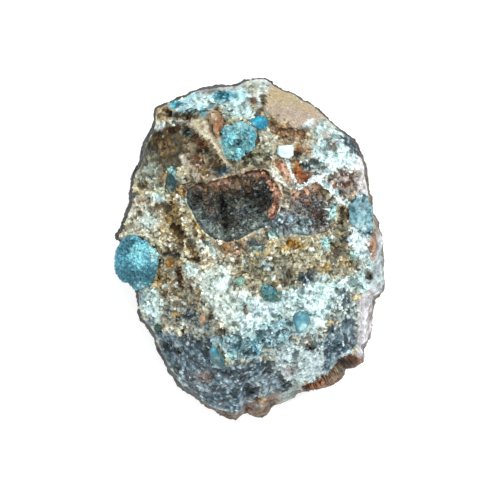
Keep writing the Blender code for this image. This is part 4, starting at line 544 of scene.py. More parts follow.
# Each rounded crystal: slot, divisions' share, head size and height, unevenness, lobes (centre, radius,
# lift), base tint, areas and spots.
NODULE_LOOKS = {
    # The blue ball's dark areas along its left and lower edges and its bright spots in the middle are partly
    # its own colour and partly the painted shade and painted highlight of its dome.
    "blue_ball": ("blue_mineral", 1, 0.6, 0.28, 0.1, [], "ball_cyan", [
        ("ball_dark", 1, 0.6, [
            (-34, 2.6), (-30.5, 3.4), (-28.2, 1.6), (-28.8, -0.6), (-30.8, -1), (-34, -1)]),
        ("ball_dark", 0.95, 0.7, [
            (-34, -4.6), (-31.4, -4.2), (-29, -5.4), (-26, -5.2), (-23.4, -4.6), (-23.4, -7), (-26, -10),
            (-30, -10.2), (-34, -8)]),
    ], {
        "ball_mid": [
            (-32.4, -2.6, 1.6, 2.2, 0, 0.9), (-31.6, 1.4, 1, 0.8, 0, 0.8), (-24.8, -3.6, 1, 0.8, 0, 0.7)],
        "ball_bright": [
            (-28.4, -1, 2.2, 1.8, 20, 1), (-26.8, 0.6, 2, 1.2, 0, 0.9), (-27.6, -3.2, 1.8, 1.6, 0, 0.8)],
        "ball_dark": [(-30.8, -0.4, 1.4, 0.7, 20, 0.7), (-25.4, -5.6, 1.3, 0.9, 60, 0.7)],
        "pale_teal": [(-24.2, -1.2, 1, 2.4, 10, 0.8), (-27.6, -8.8, 1.4, 0.6, 0, 0.6)],
    }),
    "turquoise_cluster": ("blue_mineral", 0.7, 0.7, 0.26, 0.2, [
        ((-5.2, 27.8), 2.1, 0.9), ((0.2, 28), 1.8, 0.8), ((-2.6, 30), 1.8, 0.5), ((-3, 24), 1.6, 0.8),
        ((-3.1, 26.3), 1.2, -1.2), ((0.4, 26), 1.2, 0.5), ((-5, 24), 1.2, 0.4),
    ], "turquoise", [], {
        "sky": [
            (0.7, 27.6, 0.7, 2.4, 0, 0.7), (-1.6, 29.4, 1.2, 0.8, 30, 0.6), (-6, 26.8, 0.7, 1.2, 20, 0.6)],
        "ball_bright": [(-4.8, 28, 1.1, 1.4, 0, 0.6), (-2.8, 24, 0.9, 0.8, 0, 0.5)],
        "grey_teal": [(-2.6, 28.2, 1.1, 0.8, 20, 0.7), (-3.6, 30.2, 1, 0.5, 0, 0.5)],
        "icy": [(-2, 30.6, 1.6, 0.7, 0, 0.6)],
        # The ink spots darken the sunken gap between the lobes: partly the gap's dark mineral and partly
        # painted shade.
        "ink": [(-3.1, 26.2, 0.9, 0.6, 20, 0.9), (-1.2, 28.4, 0.4, 0.4, 0, 0.7)],
        "green_teal": [(-5.2, 23.8, 0.9, 1, 0, 0.9), (-4.4, 25.2, 0.7, 0.6, 0, 0.6)],
        "lump_teal": [(-4.2, 23.2, 0.8, 0.4, -20, 0.9), (-0.6, 26.4, 0.5, 1, 0, 0.6)],
    }),
    "azure_knob": ("azure_mineral", 0.36, 0.9, 0.22, 0.12, [], "azure", [], {
        "azure_dark": [(3.6, 31.6, 0.9, 1, 0, 0.8)], "icy": [(0.6, 31, 0.7, 0.5, 0, 0.5)],
        "azure_bright": [(2, 32.2, 1, 0.6, 0, 0.7)],
    }),
    "green_bead": ("teal_mineral", 0.36, 0.9, 0.3, 0.22, [
        ((-19.6, 19.5), 1.4, 0.5),
    ], "bead_teal", [], {
        "ink": [(-19.8, 15.8, 1.3, 2, 0, 0.8)],
        "pale_teal": [(-20, 20, 0.8, 0.6, 0, 0.7), (-18.8, 18.6, 0.5, 1, 0, 0.6)],
        "olive_dark": [(-20.2, 15, 0.6, 0.8, 0, 0.6)],
    }),
    "rosy_crystal": ("rosy_calcite", 0.36, 1.6, 0.3, 0.22, [
        ((-8.6, 33.6), 1.5, 0.5),
    ], "rosy", [], {
        "liver": [(-7.6, 32, 0.5, 1.8, 0, 0.5)], "putty": [(-9.4, 33, 0.6, 1.4, 20, 0.7)],
        "hot_orange": [(-8.2, 30.4, 0.7, 1.2, 0, 0.4)], "umber": [(-8.8, 28.8, 0.5, 0.8, 0, 0.5)],
    }),
    "pale_blue_lump": ("pale_blue_mineral", 0.5, 1.4, 0.35, 0.16, [
        ((27.4, 9.4), 2, 0.6), ((27.2, 5.6), 1.9, 0.5),
    ], "lump_blue", [], {
        "ball_dark": [(25.2, 10.2, 0.7, 0.9, 0, 0.9)], "corner_blue": [(28, 12.4, 0.6, 0.5, 0, 0.9)],
        "icy": [(27.6, 8, 1.2, 1.4, 0, 0.6), (26.4, 6.4, 1, 1, 0, 0.5)],
        "teal_grey": [(28.4, 5.6, 0.9, 1.2, 0, 0.7)], "ball_mid": [(26, 8, 0.8, 1, 0, 0.5)],
        "chalk": [(27, 5.6, 1.6, 0.5, -20, 0.8)],
    }),
    "teal_lump": ("teal_mineral", 0.4, 1, 0.3, 0.25, [], "lump_teal", [], {
        "black": [(4.4, -12.4, 1, 0.4, 0, 0.6)], "ball_mid": [(5.6, -10, 1.4, 0.7, -20, 0.7)],
        "olive_dark": [(7.2, -11.6, 0.8, 0.6, 0, 0.6)], "pale_teal": [(3.6, -9, 0.7, 0.4, 0, 0.4)],
    }),
    "teal_pod": ("teal_mineral", 0.34, 1.4, 0.14, 0.12, [], "pod_teal", [], {
        "sky": [(-9, -25.6, 0.7, 1.1, 25, 0.8)], "navy": [(-7.3, -28.4, 0.6, 1.4, 25, 0.7)],
        "grey_teal": [(-8.2, -27.2, 0.4, 1.2, 25, 0.7)],
    }),
    "teal_bead_1": ("teal_mineral", 0.22, 0.9, 0.14, 0.15, [], "green_teal", [], {}),
    "teal_bead_2": ("teal_mineral", 0.22, 0.9, 0.14, 0.15, [], "grey_teal", [], {}),
    "teal_bead_3": ("teal_mineral", 0.22, 0.9, 0.14, 0.15, [], "bead_teal", [], {}),
}

# Each flat-faced crystal: slot, levels and their shares, tilt of its top, base tint, spots.
FACET_LOOKS = {
    "teal_crystal": ("teal_mineral", [(0.5, 1.0), (1.0, 0.78)], (0.12, -0.16), "crystal_teal", {
        "ball_dark": [(11.4, -16.6, 1.1, 1.2, 10, 0.9), (14, -17, 0.6, 1.2, 0, 0.8)],
        "ball_mid": [(12.8, -17.6, 0.6, 1.6, -10, 0.7)],
        "teal_blue": [(11.6, -19, 0.6, 1.2, 0, 0.6)],
        "pale_teal": [(13, -19.4, 0.7, 0.9, -20, 0.8), (12.4, -16, 0.6, 0.3, 0, 0.5)],
    }),
    "calcite_rhomb": ("white_calcite", [(0.6, 1.0), (1.0, 0.9)], (-0.1, 0.12), "rhomb_white", {
        "icy": [(7.6, 24.4, 0.8, 1, 0, 0.6)], "light_cream": [(10, 23, 0.9, 0.5, 0, 0.5)],
    }),
    "honey_crystal": ("honey_calcite", [(0.4, 1.0), (1.0, 0.55)], (0.15, 0.12), "honey", {
        "umber": [(-12.4, -17.6, 0.6, 0.4, 0, 0.6)], "light_cream": [(-11.4, -16.4, 0.4, 0.3, 0, 0.4)],
    }),
}

# How crumbly a tint's surface is, where it isn't fully so.
CALM = {
    "tan": 0.06, "mauve_tan": 0.08, "putty": 0.3, "fin": 0.3, "icy": 0.3, "chalk": 0.62, "white": 0.45,
    "knob": 0.5, "facet": 0.5, "facet_grey": 0.5, "strip_grey": 0.25,
    "corner_blue": 0.2, "pink_white": 0.3, "lilac": 0.3, "slate": 0.6, "navy": 0.6, "brick": 0.5,
    "orange": 0.6, "light_cream": 0.6, "low_white": 0.6, "pale_slate": 0.6,
}


# ---------------------------------------------------------------- meshes and their points
def read(items, what, width=3, kind=np.float32):
    """One quantity of all the items: a row for each, or a single column."""
    values = np.empty(len(items) * width, kind)
    items.foreach_get(what, values)
    return values.reshape(-1, width) if width > 1 else values


def places(mesh):
    """Where a mesh's points are, in millimetres."""
    return read(mesh.vertices, "co").astype(float) / MM


def put(mesh, points):
    """Moves a mesh's points to places given in millimetres."""
    mesh.vertices.foreach_set("co", (points * MM).astype(np.float32).ravel())
    mesh.update()


def corner_points(mesh):
    """Which point each corner of a mesh's faces stands on."""
    return read(mesh.loops, "vertex_index", 1, np.int32)


def as_mesh(bm, name, scale=1.0):
    """A mesh made from a bmesh, which is then freed."""
    bmesh.ops.scale(bm, vec=(scale, scale, scale), verts=bm.verts)
    mesh = bpy.data.meshes.new(name)
    bm.to_mesh(mesh)
    bm.free()
    return mesh


def store(mesh, name, values, kind):
    """Keeps a colour or a number for each point, which the material and the crumbs read."""
    kept = mesh.attributes.new(name, kind, "POINT")
    if kind == "FLOAT_COLOR":
        whole = np.ones((len(values), 4), np.float32)
        whole[:, :3] = np.clip(values[:, :3], 0.0, 1.0)
        kept.data.foreach_set("color", whole.ravel())
    else:
        kept.data.foreach_set("value", np.asarray(values, np.float32))


def unroll(mesh, u, v):
    """Keeps where each corner of the mesh lies on its flat map."""
    made = mesh.uv_layers.new(name="OFBake")
    made.data.foreach_set("uv", np.stack([u, v], axis=1).astype(np.float32).ravel())


def swell(mesh, amount):
    """Moves each point along its normal, by millimetres."""
    put(mesh, places(mesh) + amount[:, None] * read(mesh.vertices, "normal"))


def neighbours_smoothed(mesh, points, rounds):
    """Points moved to the mean of their neighbours, some rounds over."""
    first, second = read(mesh.edges, "vertices", 2, np.int32).T
    first, second = np.concatenate([first, second]), np.concatenate([second, first])
    count = np.bincount(first, minlength=len(points))
    for _ in range(rounds):
        sums = [np.bincount(first, weights=points[second, axis], minlength=len(points)) for axis in range(3)]
        points = np.stack(sums, axis=1) / count[:, None]
    return points


def hollowness(mesh, rounds):
    """How far each point lies below its smoothed surroundings, in millimetres."""
    points = places(mesh)
    inwards = neighbours_smoothed(mesh, points, rounds) - points
    return np.sum(inwards * read(mesh.vertices, "normal"), axis=1)


# ---------------------------------------------------------------- plan geometry
def smooth(low, high, value):
    """0 at low, 1 at high, and a soft step between."""
    t = np.clip((value - low) / (high - low), 0.0, 1.0)
    return t * t * (3.0 - 2.0 * t)


def by_direction(table, degrees):
    """A quantity given at some directions, read at others."""
    angles, values = zip(*sorted(table))
    return np.interp(degrees, angles, values, period=360.0)


def distance_to_line(points, x, y, closed=False):
    """How far each (x, y) lies from a line of straight stretches."""
    ends = points[1:] + points[:1] if closed else points[1:]
    nearest = np.full(np.shape(x), np.inf)
    for (ax, ay), (bx, by) in zip(points, ends):
        dx, dy = bx - ax, by - ay
        t = np.clip(((x - ax) * dx + (y - ay) * dy) / (dx * dx + dy * dy), 0.0, 1.0)
        nearest = np.minimum(nearest, np.hypot(x - ax - t * dx, y - ay - t * dy))
    return nearest


def depth_inside(points, x, y):
    """How deep each (x, y) lies inside an outline, negative outside."""
    crossings = np.zeros(np.shape(x), bool)
    for (ax, ay), (bx, by) in zip(points, points[1:] + points[:1]):
        spans = (ay > y) != (by > y)
        rise = by - ay if by != ay else 1.0
        crossings ^= spans & (x < (bx - ax) * (y - ay) / rise + ax)
    distance = distance_to_line(points, x, y, closed=True)
    return np.where(crossings, distance, -distance)


def middle(points):
    """The mean of some points."""
    return np.mean(points, axis=0)


def around(centre, radius, angle):
    """X and Y at a distance from a centre, in each direction."""
    return centre[0] + radius * np.cos(angle), centre[1] + radius * np.sin(angle)


def reach(points, centre, angle):
    """An outline's distance from its centre in each direction, in radians."""
    at = np.array(points) - centre
    turns = np.degrees(np.arctan2(at[:, 1], at[:, 0]))
    return by_direction(list(zip(turns, np.hypot(at[:, 0], at[:, 1]))), np.degrees(angle))


def from_middle(outline, x, y):
    """How far across an outline each point lies, 1 on its edge, and its direction from the middle."""
    cx, cy = middle(outline)
    angle = np.arctan2(y - cy, x - cx)
    return np.hypot(x - cx, y - cy) / reach(outline, (cx, cy), angle), angle


def ellipse(x, y, centre, long, wide, turn):
    """0 in the middle of a turned ellipse and 1 on its edge."""
    cos, sin = math.cos(math.radians(turn)), math.sin(math.radians(turn))
    dx, dy = x - centre[0], y - centre[1]
    return np.hypot((dx * cos + dy * sin) / long, (dy * cos - dx * sin) / wide)


def with_lumps(height, x, y, table):
    """A height with rounded rises and pits on it, each an ellipse on plan and its lift."""
    for *form, lift in table:
        height = height + lift * np.exp(-ellipse(x, y, *form) ** 2)
    return height


# ---------------------------------------------------------------- noise
# Each noise takes its scale, which is the size of its features in millimetres, and where it starts, so that
# two noises of one scale differ.
def wobble(x, y, z, scale, start):
    """Smooth noise, about -1 to 1."""
    return np.array([
        noise.noise(Vector((a / scale + start, b / scale, c / scale)))
        for a, b, c in zip(x, y, z)
    ])


def fractal(x, y, z, scale, start):
    """Rough noise, about -1 to 1: features of about the scale with ever finer ones on them."""
    finer, octaves, falloff = 2.1, 5, 0.55
    return np.array([
        noise.fractal(Vector((a / scale + start, b / scale, c / scale)), falloff, finer, octaves)
        for a, b, c in zip(x, y, z)
    ])


def grains(x, y, z, scale, start):
    """Rounded grains: their height from 0 to 1, and a number from 0 to 1 for each."""
    number_draw, spread = 31.0, 0.8
    tall, number = [], []
    for a, b, c in zip(x, y, z):
        distances, cores = noise.voronoi(Vector((a / scale + start, b / scale, c / scale)))
        tall.append(distances[0])
        number.append(noise.cell(cores[0] * number_draw))
    return np.sqrt(np.clip(1.0 - (np.array(tall) / spread) ** 2, 0.0, 1.0)), np.array(number)


def blocks(x, y, scale, start):
    """Broken blocks: each has a level of its own and a slight tilt, about -1 to 1."""
    level_draw, tilt_draw = 31.0, 57.0  # spread the cores, so that each draws its own values
    made = []
    for a, b in zip(x, y):
        at = Vector((a / scale, b / scale, start))
        core = noise.voronoi(at)[1][0]
        level = 2.0 * noise.cell(core * level_draw) - 1.0
        lean = (noise.cell_vector(core * tilt_draw) - Vector((0.5, 0.5, 0.5))) * BLOCK_TILT
        made.append(level + lean.x * (at.x - core.x) + lean.y * (at.y - core.y))
    return np.array(made)


def waves(x, y, z, layers, start=0.0):
    """Smooth noise in layers, each with its strength, scale and start."""
    return sum(strong * wobble(x, y, z, scale, start + own) for strong, scale, own in layers)


def pits(x, y, z, kinds):
    """How deep small pits go: each kind's depth, its noise, and that noise at the pits' brim and floor."""
    return sum(
        deep * smooth(brim, floor, wobble(x, y, z, scale, start))
        for deep, scale, start, brim, floor in kinds
    )


CRACK_WAVES = [(1.3, 3.2, 0.0), (0.6, 1.1, 0.0)]


def jagged(x, y, amount, starts):
    """Points moved so that what is straight there comes out ragged, as a crack does."""
    flat = np.zeros_like(x)
    return [at + amount * waves(x, y, flat, CRACK_WAVES, start) for at, start in zip((x, y), starts)]


STIR_SEED = 1  # without a seed, noise vectors start from the clock


def stir(whole, layers):
    """Moves a bmesh's points by two layers of noise: how far each, and its features per millimetre."""
    noise.seed_set(STIR_SEED)
    for vert in whole.verts:
        moves = [strong * noise.noise_vector(vert.co * often) for strong, often in layers]
        vert.co += moves[0] + moves[1]


# ---------------------------------------------------------------- the face
FORM_STRAY, FORM_STARTS = 0.35, (23.0, 57.0)  # how ragged the forms' edges are
FACE_BLOCK_STARTS = (41.0, 67.0)


def face_edge(angle):
    """How far out the face reaches in each direction, in radians."""
    return reach(OUTLINE, (0, 0), angle) - by_direction(RIM_WIDTHS, np.degrees(angle))


def face_height(x, y):
    """The face's height above the resting surface, without its grain."""
    angle = np.arctan2(y, x)
    rim = by_direction(RIM_HEIGHTS, np.degrees(angle))
    share = np.clip(np.hypot(x, y) / face_edge(angle), 0.0, 1.0)
    height = rim + (CROWN_HEIGHT - rim) * (1.0 - share**CROWN_POWER)
    for _, lift, soft, tilt, outline in PLATES:
        mask = smooth(-soft, soft, depth_inside(outline, x, y))
        height = height + mask * (lift + tilt * (x - middle(outline)[0]))
    for _, half_width, lift, line in RIDGES:
        height = height + lift * np.exp(-((distance_to_line(line, x, y) / half_width) ** 2))
    return with_lumps(height, x, y, [form for _, *form in LUMPS])


def face_grain(x, y):
    """Crumbly relief on top of the face's forms, calm on the chalcedony plate."""
    strength, *kind = FACE_BLOCKS
    rough = strength * blocks(*jagged(x, y, 1.0, FACE_BLOCK_STARTS), *kind)
    rough = rough + waves(x, y, np.zeros_like(x), FACE_WAVES)
    plate_soft, plate_outline = PLATES[0][2], PLATES[0][4]
    calm = smooth(-plate_soft, plate_soft, depth_inside(plate_outline, x, y))
    return rough * (1.0 - PLATE_CALM * calm)


def surface(x, y, share=None):
    """The face's height: its forms with ragged edges, and its coarse grain."""
    if share is None:
        share = np.hypot(x, y) / face_edge(np.arctan2(y, x))
    fade = smooth(*GRAIN_FADE, share)
    return face_height(*jagged(x, y, FORM_STRAY * fade, FORM_STARTS)) + fade * face_grain(x, y)


COARSE_GRAINS, FINE_GRAINS = (1.3, 7.0), (0.55, 19.0)
GRAIN_RELIEF = 0.2  # how far the face's small grains stand up
FINE_SHARE, FINE_LEAST = 0.9, 0.3  # how far the fine grains do, and the least of them
CHIP_BLOCKS, CHIP_STARTS = (3.1, 3.0), (91.0, 131.0)
CHIP_RELIEF, CHIP_STRAY = 0.2, 0.5  # the face's small broken blocks, and how ragged their edges are
ROUGHNESS, ROUGHNESS_RELIEF = (3.4, 5.0), 0.75
FACE_PITS = [(1.0, 2.2, 83.0, 0.25, 0.5), (0.7, 0.9, 29.0, 0.25, 0.45)]
PIT_DEPTH = 0.7
CALM_WAVES = [(0.1, 1.4, 15.0)]  # what even a calm surface has


def crumble(x, y, z, crumbly):
    """The face's finest relief: grains, small blocks and pits, as far as it is crumbly there."""
    ragged = jagged(x, y, CHIP_STRAY, CHIP_STARTS)
    coarse, number = grains(*ragged, z, *COARSE_GRAINS)
    fine, fine_number = grains(x, y, z, *FINE_GRAINS)
    raised = GRAIN_RELIEF * (coarse * number + FINE_SHARE * fine * (FINE_LEAST + fine_number))
    chips = CHIP_RELIEF * blocks(*ragged, *CHIP_BLOCKS)
    rough = raised + chips - PIT_DEPTH * pits(x, y, z, FACE_PITS)
    rough = rough + ROUGHNESS_RELIEF * fractal(x, y, z, *ROUGHNESS)
    return crumbly * rough + waves(x, y, z, CALM_WAVES)


SKIN_GRAINS, SKIN_GRAIN_RELIEF = (1.1, 43.0), 0.22
SKIN_SWELLS, SKIN_SWELL_RELIEF = (3.6, 61.0), 0.5
SKIN_PITS = [(0.5, 1.6, 87.0, 0.25, 0.5)]


def weathered(x, y, z):
    """The weathered skin's relief: low swells, small grains and pits."""
    dome, number = grains(x, y, z, *SKIN_GRAINS)
    swells = SKIN_SWELL_RELIEF * fractal(x, y, z, *SKIN_SWELLS)
    return swells + SKIN_GRAIN_RELIEF * dome * number - pits(x, y, z, SKIN_PITS)


# ---------------------------------------------------------------- paint
def tint(name):
    """A tint's colour."""
    return np.array(TINTS[name])


def coat(name):
    """A tint's colour, and how crumbly its surface is."""
    return np.array([*TINTS[name], CALM.get(name, 1.0)])


def tint_by_direction(table, degrees):
    """A colour given by its tint at some directions, read at others."""
    return np.stack([
        by_direction([(turn, tint(name)[channel]) for turn, name in table], degrees)
        for channel in range(3)
    ], axis=-1)


def mix(colour, other, share):
    """Colour moved towards another by a share for each point."""
    return colour + share[:, None] * (np.array(other) - colour)


def shaded(colour, brightness):
    """Colour made brighter or darker at each point."""
    return colour * brightness[:, None]


EDGE_STARTS, EDGE_WAVES = (101.0, 211.0), [(0.8, 2.6, 0.0), (0.5, 1.0, 9.0)]
EDGE_GRAIN = 0.62
GRAIN_STRAY = 1.2  # how far apart neighbouring grains of paint may come from
STEADY = 0.3  # share of the stray that even a crisp outline keeps
SPOT_STRAY = 0.28  # and that spots keep
SPOT_FADE = (1.35, 0.7)  # a spot fades in between these shares of its radius


def broken_edge(x, y, z):
    """How far paint strays from its outlines, in X and in Y: in waves, and grain by grain."""
    return [
        waves(x, y, z, EDGE_WAVES, start) + GRAIN_STRAY * (grains(x, y, z, EDGE_GRAIN, start)[1] - 0.5)
        for start in EDGE_STARTS
    ]


def paint(base, x, y, z, areas, spots):
    """Lays tints over a base in order, with broken edges: each point's colour and crumbliness."""
    stray_x, stray_y = broken_edge(x, y, z)
    laid = np.tile(coat(base), (len(x), 1))
    for name, strength, soft, outline in areas:
        stray = min(1.0, STEADY + soft)
        inside = depth_inside(outline, x + stray * stray_x, y + stray * stray_y)
        laid = mix(laid, coat(name), strength * smooth(-soft, soft, inside))
    x, y = x + SPOT_STRAY * stray_x, y + SPOT_STRAY * stray_y
    for name, marks in spots.items():
        for cx, cy, *form, strength in marks:
            laid = mix(laid, coat(name), strength * smooth(*SPOT_FADE, ellipse(x, y, (cx, cy), *form)))
    return laid[:, :3], laid[:, 3]


# Crevices are darkened, partly by dirt and partly by painted shade, and raised edges are lightened, partly by
# wear and partly by painted highlight, narrow ones and broad ones: the rounds of smoothing that find them,
# and for each its share and the millimetres at which it starts and is full.
DIRT_SHADE_ROUNDS = (2, 12)
CREVICES = [(0.5, 0.0, 0.16), (0.9, 0.04, 0.5)]
RAISED_EDGES = [(0.6, 0.0, 0.14), (0.6, 0.1, 0.6)]
# How much a crevice is darkened by dirt and painted shade, what that dirt and shade multiply the tint by, and
# how much painted highlight lightens an edge.
WARM_DIRT_SHADE, COLD_DIRT_SHADE = (0.36, 0.26, 0.16), (0.32, 0.37, 0.37)
# Each piece's crevice darkening (dirt and painted shade), that tint, and its painted edge highlight.
RIB_DIRT_AND_SHADE = (0.5, WARM_DIRT_SHADE, 0.3)
CRUST_DIRT_AND_SHADE = (1.0, (0.22, 0.18, 0.14), 0.8)
NODULE_DIRT_AND_SHADE = (0.85, (0.16, 0.34, 0.36), 0.5)
FACET_DIRT_AND_SHADE = (0.3, (0.4, 0.4, 0.4), 0.3)


def share_at_depth(table, depths):
    """How strongly a crevice's dirt and painted shade, and a raised edge's wear and painted highlight, show,
    from 0 to 1, at depths seen from close by and from farther off.
    """
    shares = [share * smooth(start, full, depth) for (share, start, full), depth in zip(table, depths)]
    return np.clip(shares[0] + shares[1], 0.0, 1.0)


def dirt_shade_and_highlight(mesh, colour, deep, dirt_shade, edge_light):
    """Darkens crevices towards the tint of their dirt and painted shade, and lightens raised edges with wear
    and painted highlight.
    """
    depths = np.array([hollowness(mesh, rounds) for rounds in DIRT_SHADE_ROUNDS])
    colour = colour * (1.0 - deep * share_at_depth(CREVICES, depths)[:, None] * (1.0 - np.array(dirt_shade)))
    return shaded(colour, 1.0 + edge_light * share_at_depth(RAISED_EDGES, -depths))


# ---------------------------------------------------------------- balls as a start
MAP_RADIUS = 0.485  # the disc fills the square
MAP_CORNER, MAP_CORNER_RADIUS = 0.078, 0.066  # the small disc fits beside it


def area_above(unit):
    """The share of a ball's area that lies above each point."""
    return (1.0 - unit[:, 2]) / 2.0


def ball_mesh(name, divisions, shape):
    """A ball of even triangles bent to a shape, which turns its unit vectors into millimetres."""
    bm = bmesh.new()
    bmesh.ops.create_icosphere(bm, subdivisions=1, radius=1.0)
    bmesh.ops.subdivide_edges(bm, edges=bm.edges, cuts=divisions - 1, use_grid_fill=True)
    bmesh.ops.triangulate(bm, faces=bm.faces)
    unit = np.array([vert.co.normalized() for vert in bm.verts])
    mesh = as_mesh(bm, name)
    put(mesh, np.stack(shape(unit), axis=1))
    return mesh, unit


def ball_map(mesh, unit, shown):
    """The ball's upper share, unrolled to a disc, and the rest, to a small disc in a corner."""
    unit = unit[corner_points(mesh)]
    from_top = area_above(unit)
    upper = np.repeat(from_top.reshape(-1, 3).mean(axis=1) < shown, 3)
    top = np.sqrt(from_top / shown) * MAP_RADIUS
    foot = np.sqrt((1.0 - from_top) / (1.0 - shown)) * MAP_CORNER_RADIUS
    centre = np.where(upper, 0.5, MAP_CORNER)
    angle = np.arctan2(unit[:, 1], unit[:, 0])
    unroll(mesh, *around((centre, centre), np.where(upper, top, foot), angle))


# ---------------------------------------------------------------- materials
GRAIN_SOCKETS = [
    ("Tint", "INPUT", "Color", (0.5, 0.5, 0.5, 1.0)), ("Grain", "INPUT", "Float", 2500.0),
    ("Mottle", "INPUT", "Float", 0.4), ("Dullest", "INPUT", "Float", 0.9),
    ("Glossiest", "INPUT", "Float", 0.4), ("Colour", "OUTPUT", "Color", None),
    ("Roughness", "OUTPUT", "Float", None), ("Height", "OUTPUT", "Float", None),
]
GRAIN_NODES = {
    "given": ("NodeGroupInput", (-900, 0), {}), "out": ("NodeGroupOutput", (700, 0), {}),
    "where": ("ShaderNodeTexCoord", (-900, -300), {}),
    "fine": ("ShaderNodeTexNoise", (-600, 100), {"Detail": 4.0, "Roughness": 0.7}),
    "crystals": ("ShaderNodeTexVoronoi", (-600, -200), {}),
    "least": ("ShaderNodeMath", (-600, 400), {"operation": "SUBTRACT", 0: 1.0}),
    "most": ("ShaderNodeMath", (-600, 550), {"operation": "ADD", 0: 1.0}),
    "spread": ("ShaderNodeMapRange", (-300, 300), {"From Min": 0.32, "From Max": 0.68}),
    "shaded": ("ShaderNodeVectorMath", (-50, 300), {"operation": "SCALE"}),
    "gloss": ("ShaderNodeMapRange", (-50, 0), {}),
    "height": ("ShaderNodeMath", (-50, -250), {"operation": "SUBTRACT"}),
}
GRAIN_LINKS = [
    ("where", "Object", "fine", "Vector"), ("given", "Grain", "fine", "Scale"),
    ("where", "Object", "crystals", "Vector"), ("given", "Grain", "crystals", "Scale"),
    # Mottled colour: the tint times 1 - mottle .. 1 + mottle.
    ("given", "Mottle", "least", 1), ("given", "Mottle", "most", 1), ("fine", "Fac", "spread", "Value"),
    ("least", 0, "spread", "To Min"), ("most", 0, "spread", "To Max"), ("given", "Tint", "shaded", 0),
    ("spread", 0, "shaded", "Scale"), ("shaded", 0, "out", "Colour"),
    # Each crystal has a gloss of its own.
    ("crystals", "Color", "gloss", "Value"), ("given", "Glossiest", "gloss", "To Min"),
    ("given", "Dullest", "gloss", "To Max"), ("gloss", 0, "out", "Roughness"),
    ("fine", "Fac", "height", 0), ("crystals", "Distance", "height", 1), ("height", 0, "out", "Height"),
]
FINISH_LINKS = [
    ("painted", "Color", "grain", "Tint"), ("grain", "Colour", "shader", "Base Color"),
    ("grain", "Roughness", "shader", "Roughness"), ("grain", "Height", "relief", "Height"),
    ("relief", "Normal", "shader", "Normal"),
]
BUMP_STRENGTH = 0.6
# Finishes: crystals per metre, mottle, glossiest and dullest roughness, bump in millimetres, coat.
FINISHES = {
    "Calcite stone": (2500.0, 0.42, 0.45, 0.95, 0.25, 0.0),
    "Loose crumbs": (3000.0, 0.25, 0.35, 0.9, 0.08, 0.0),
    "Rusty ribs": (3200.0, 0.35, 0.3, 0.8, 0.14, 0.0),
    "Druse": (2600.0, 0.35, 0.12, 0.6, 0.2, 0.0),
    "Rosy druse": (3200.0, 0.3, 0.25, 0.7, 0.14, 0.0),
    "Blue crystal": (3600.0, 0.3, 0.3, 0.8, 0.16, 0.0),
    "Azure crystal": (4200.0, 0.3, 0.25, 0.7, 0.12, 0.0),
    "Teal crystal": (3600.0, 0.3, 0.3, 0.8, 0.14, 0.0),
    "Pale blue crystal": (3200.0, 0.25, 0.3, 0.85, 0.16, 0.0),
    "Rosy calcite": (2400.0, 0.2, 0.25, 0.7, 0.14, 0.0),
    "Teal facet": (3000.0, 0.2, 0.15, 0.45, 0.06, 0.3),
    "White cleavage": (1800.0, 0.12, 0.25, 0.6, 0.08, 0.2),
    "Honey calcite": (1800.0, 0.25, 0.12, 0.4, 0.08, 0.4),
}


def wire(tree, nodes, links, **made):
    """Adds named nodes, each a kind, a place and its settings, and links their sockets."""
    for name, (kind, place, settings) in nodes.items():
        node = made[name] = tree.nodes.new(kind)
        node.location = place
        for key, value in settings.items():
            if isinstance(key, int) or key in node.inputs:
                node.inputs[key].default_value = value
            else:
                setattr(node, key, value)
    for source, leaving, target, entering in links:
        tree.links.new(made[source].outputs[leaving], made[target].inputs[entering])


def grain_group():
    """Fine mineral grain over a tint: mottled colour, roughness and height."""
    tree = bpy.data.node_groups.get("Mineral grain")
    if tree:
        return tree
    tree = bpy.data.node_groups.new("Mineral grain", "ShaderNodeTree")
    for name, way, kind, start in GRAIN_SOCKETS:
        socket = tree.interface.new_socket(name=name, in_out=way, socket_type="NodeSocket" + kind)
        if start is not None:
            socket.default_value = start
    wire(tree, GRAIN_NODES, GRAIN_LINKS)
    return tree


def material(name, nodes, links, settings):
    """A material whose nodes feed its shader."""
    made = bpy.data.materials.new(name)
    made.use_nodes = True
    shader = made.node_tree.nodes["Principled BSDF"]
    for socket, value in settings.items():
        shader.inputs[socket].default_value = value
    wire(made.node_tree, nodes, links, shader=shader)
    return made


def mineral(name):
    """The finish of that name, which grains the painted tint. It is made once."""
    known = bpy.data.materials.get(name)
    if known:
        return known
    grain, mottle, glossiest, dullest, bump, coated = FINISHES[name]
    nodes = {
        "painted": ("ShaderNodeAttribute", (-700, 200), {"attribute_name": "Tint"}),
        "grain": ("ShaderNodeGroup", (-450, 200), {
            "node_tree": grain_group(), "Grain": grain, "Mottle": mottle, "Glossiest": glossiest,
            "Dullest": dullest}),
        "relief": ("ShaderNodeBump", (-220, -150), {"Strength": BUMP_STRENGTH, "Distance": bump * MM}),
    }
    return material(name, nodes, FINISH_LINKS, {"Coat Weight": coated})


SHARP_ANGLE = 38  # edges that turn more than this many degrees stay sharp


def piece(name, mesh, finish, slot, *replaced):
    """A finished piece: an object at the origin that rides on the body."""
    mesh.shade_smooth()
    mesh.set_sharp_from_angle(angle=math.radians(SHARP_ANGLE))
    mesh.materials.append(mineral(finish))
    made = bpy.data.objects.new(name, mesh)
    bpy.context.scene.collection.objects.link(made)
    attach(made, BODY)
    if replaced:
        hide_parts(*replaced)
    return made


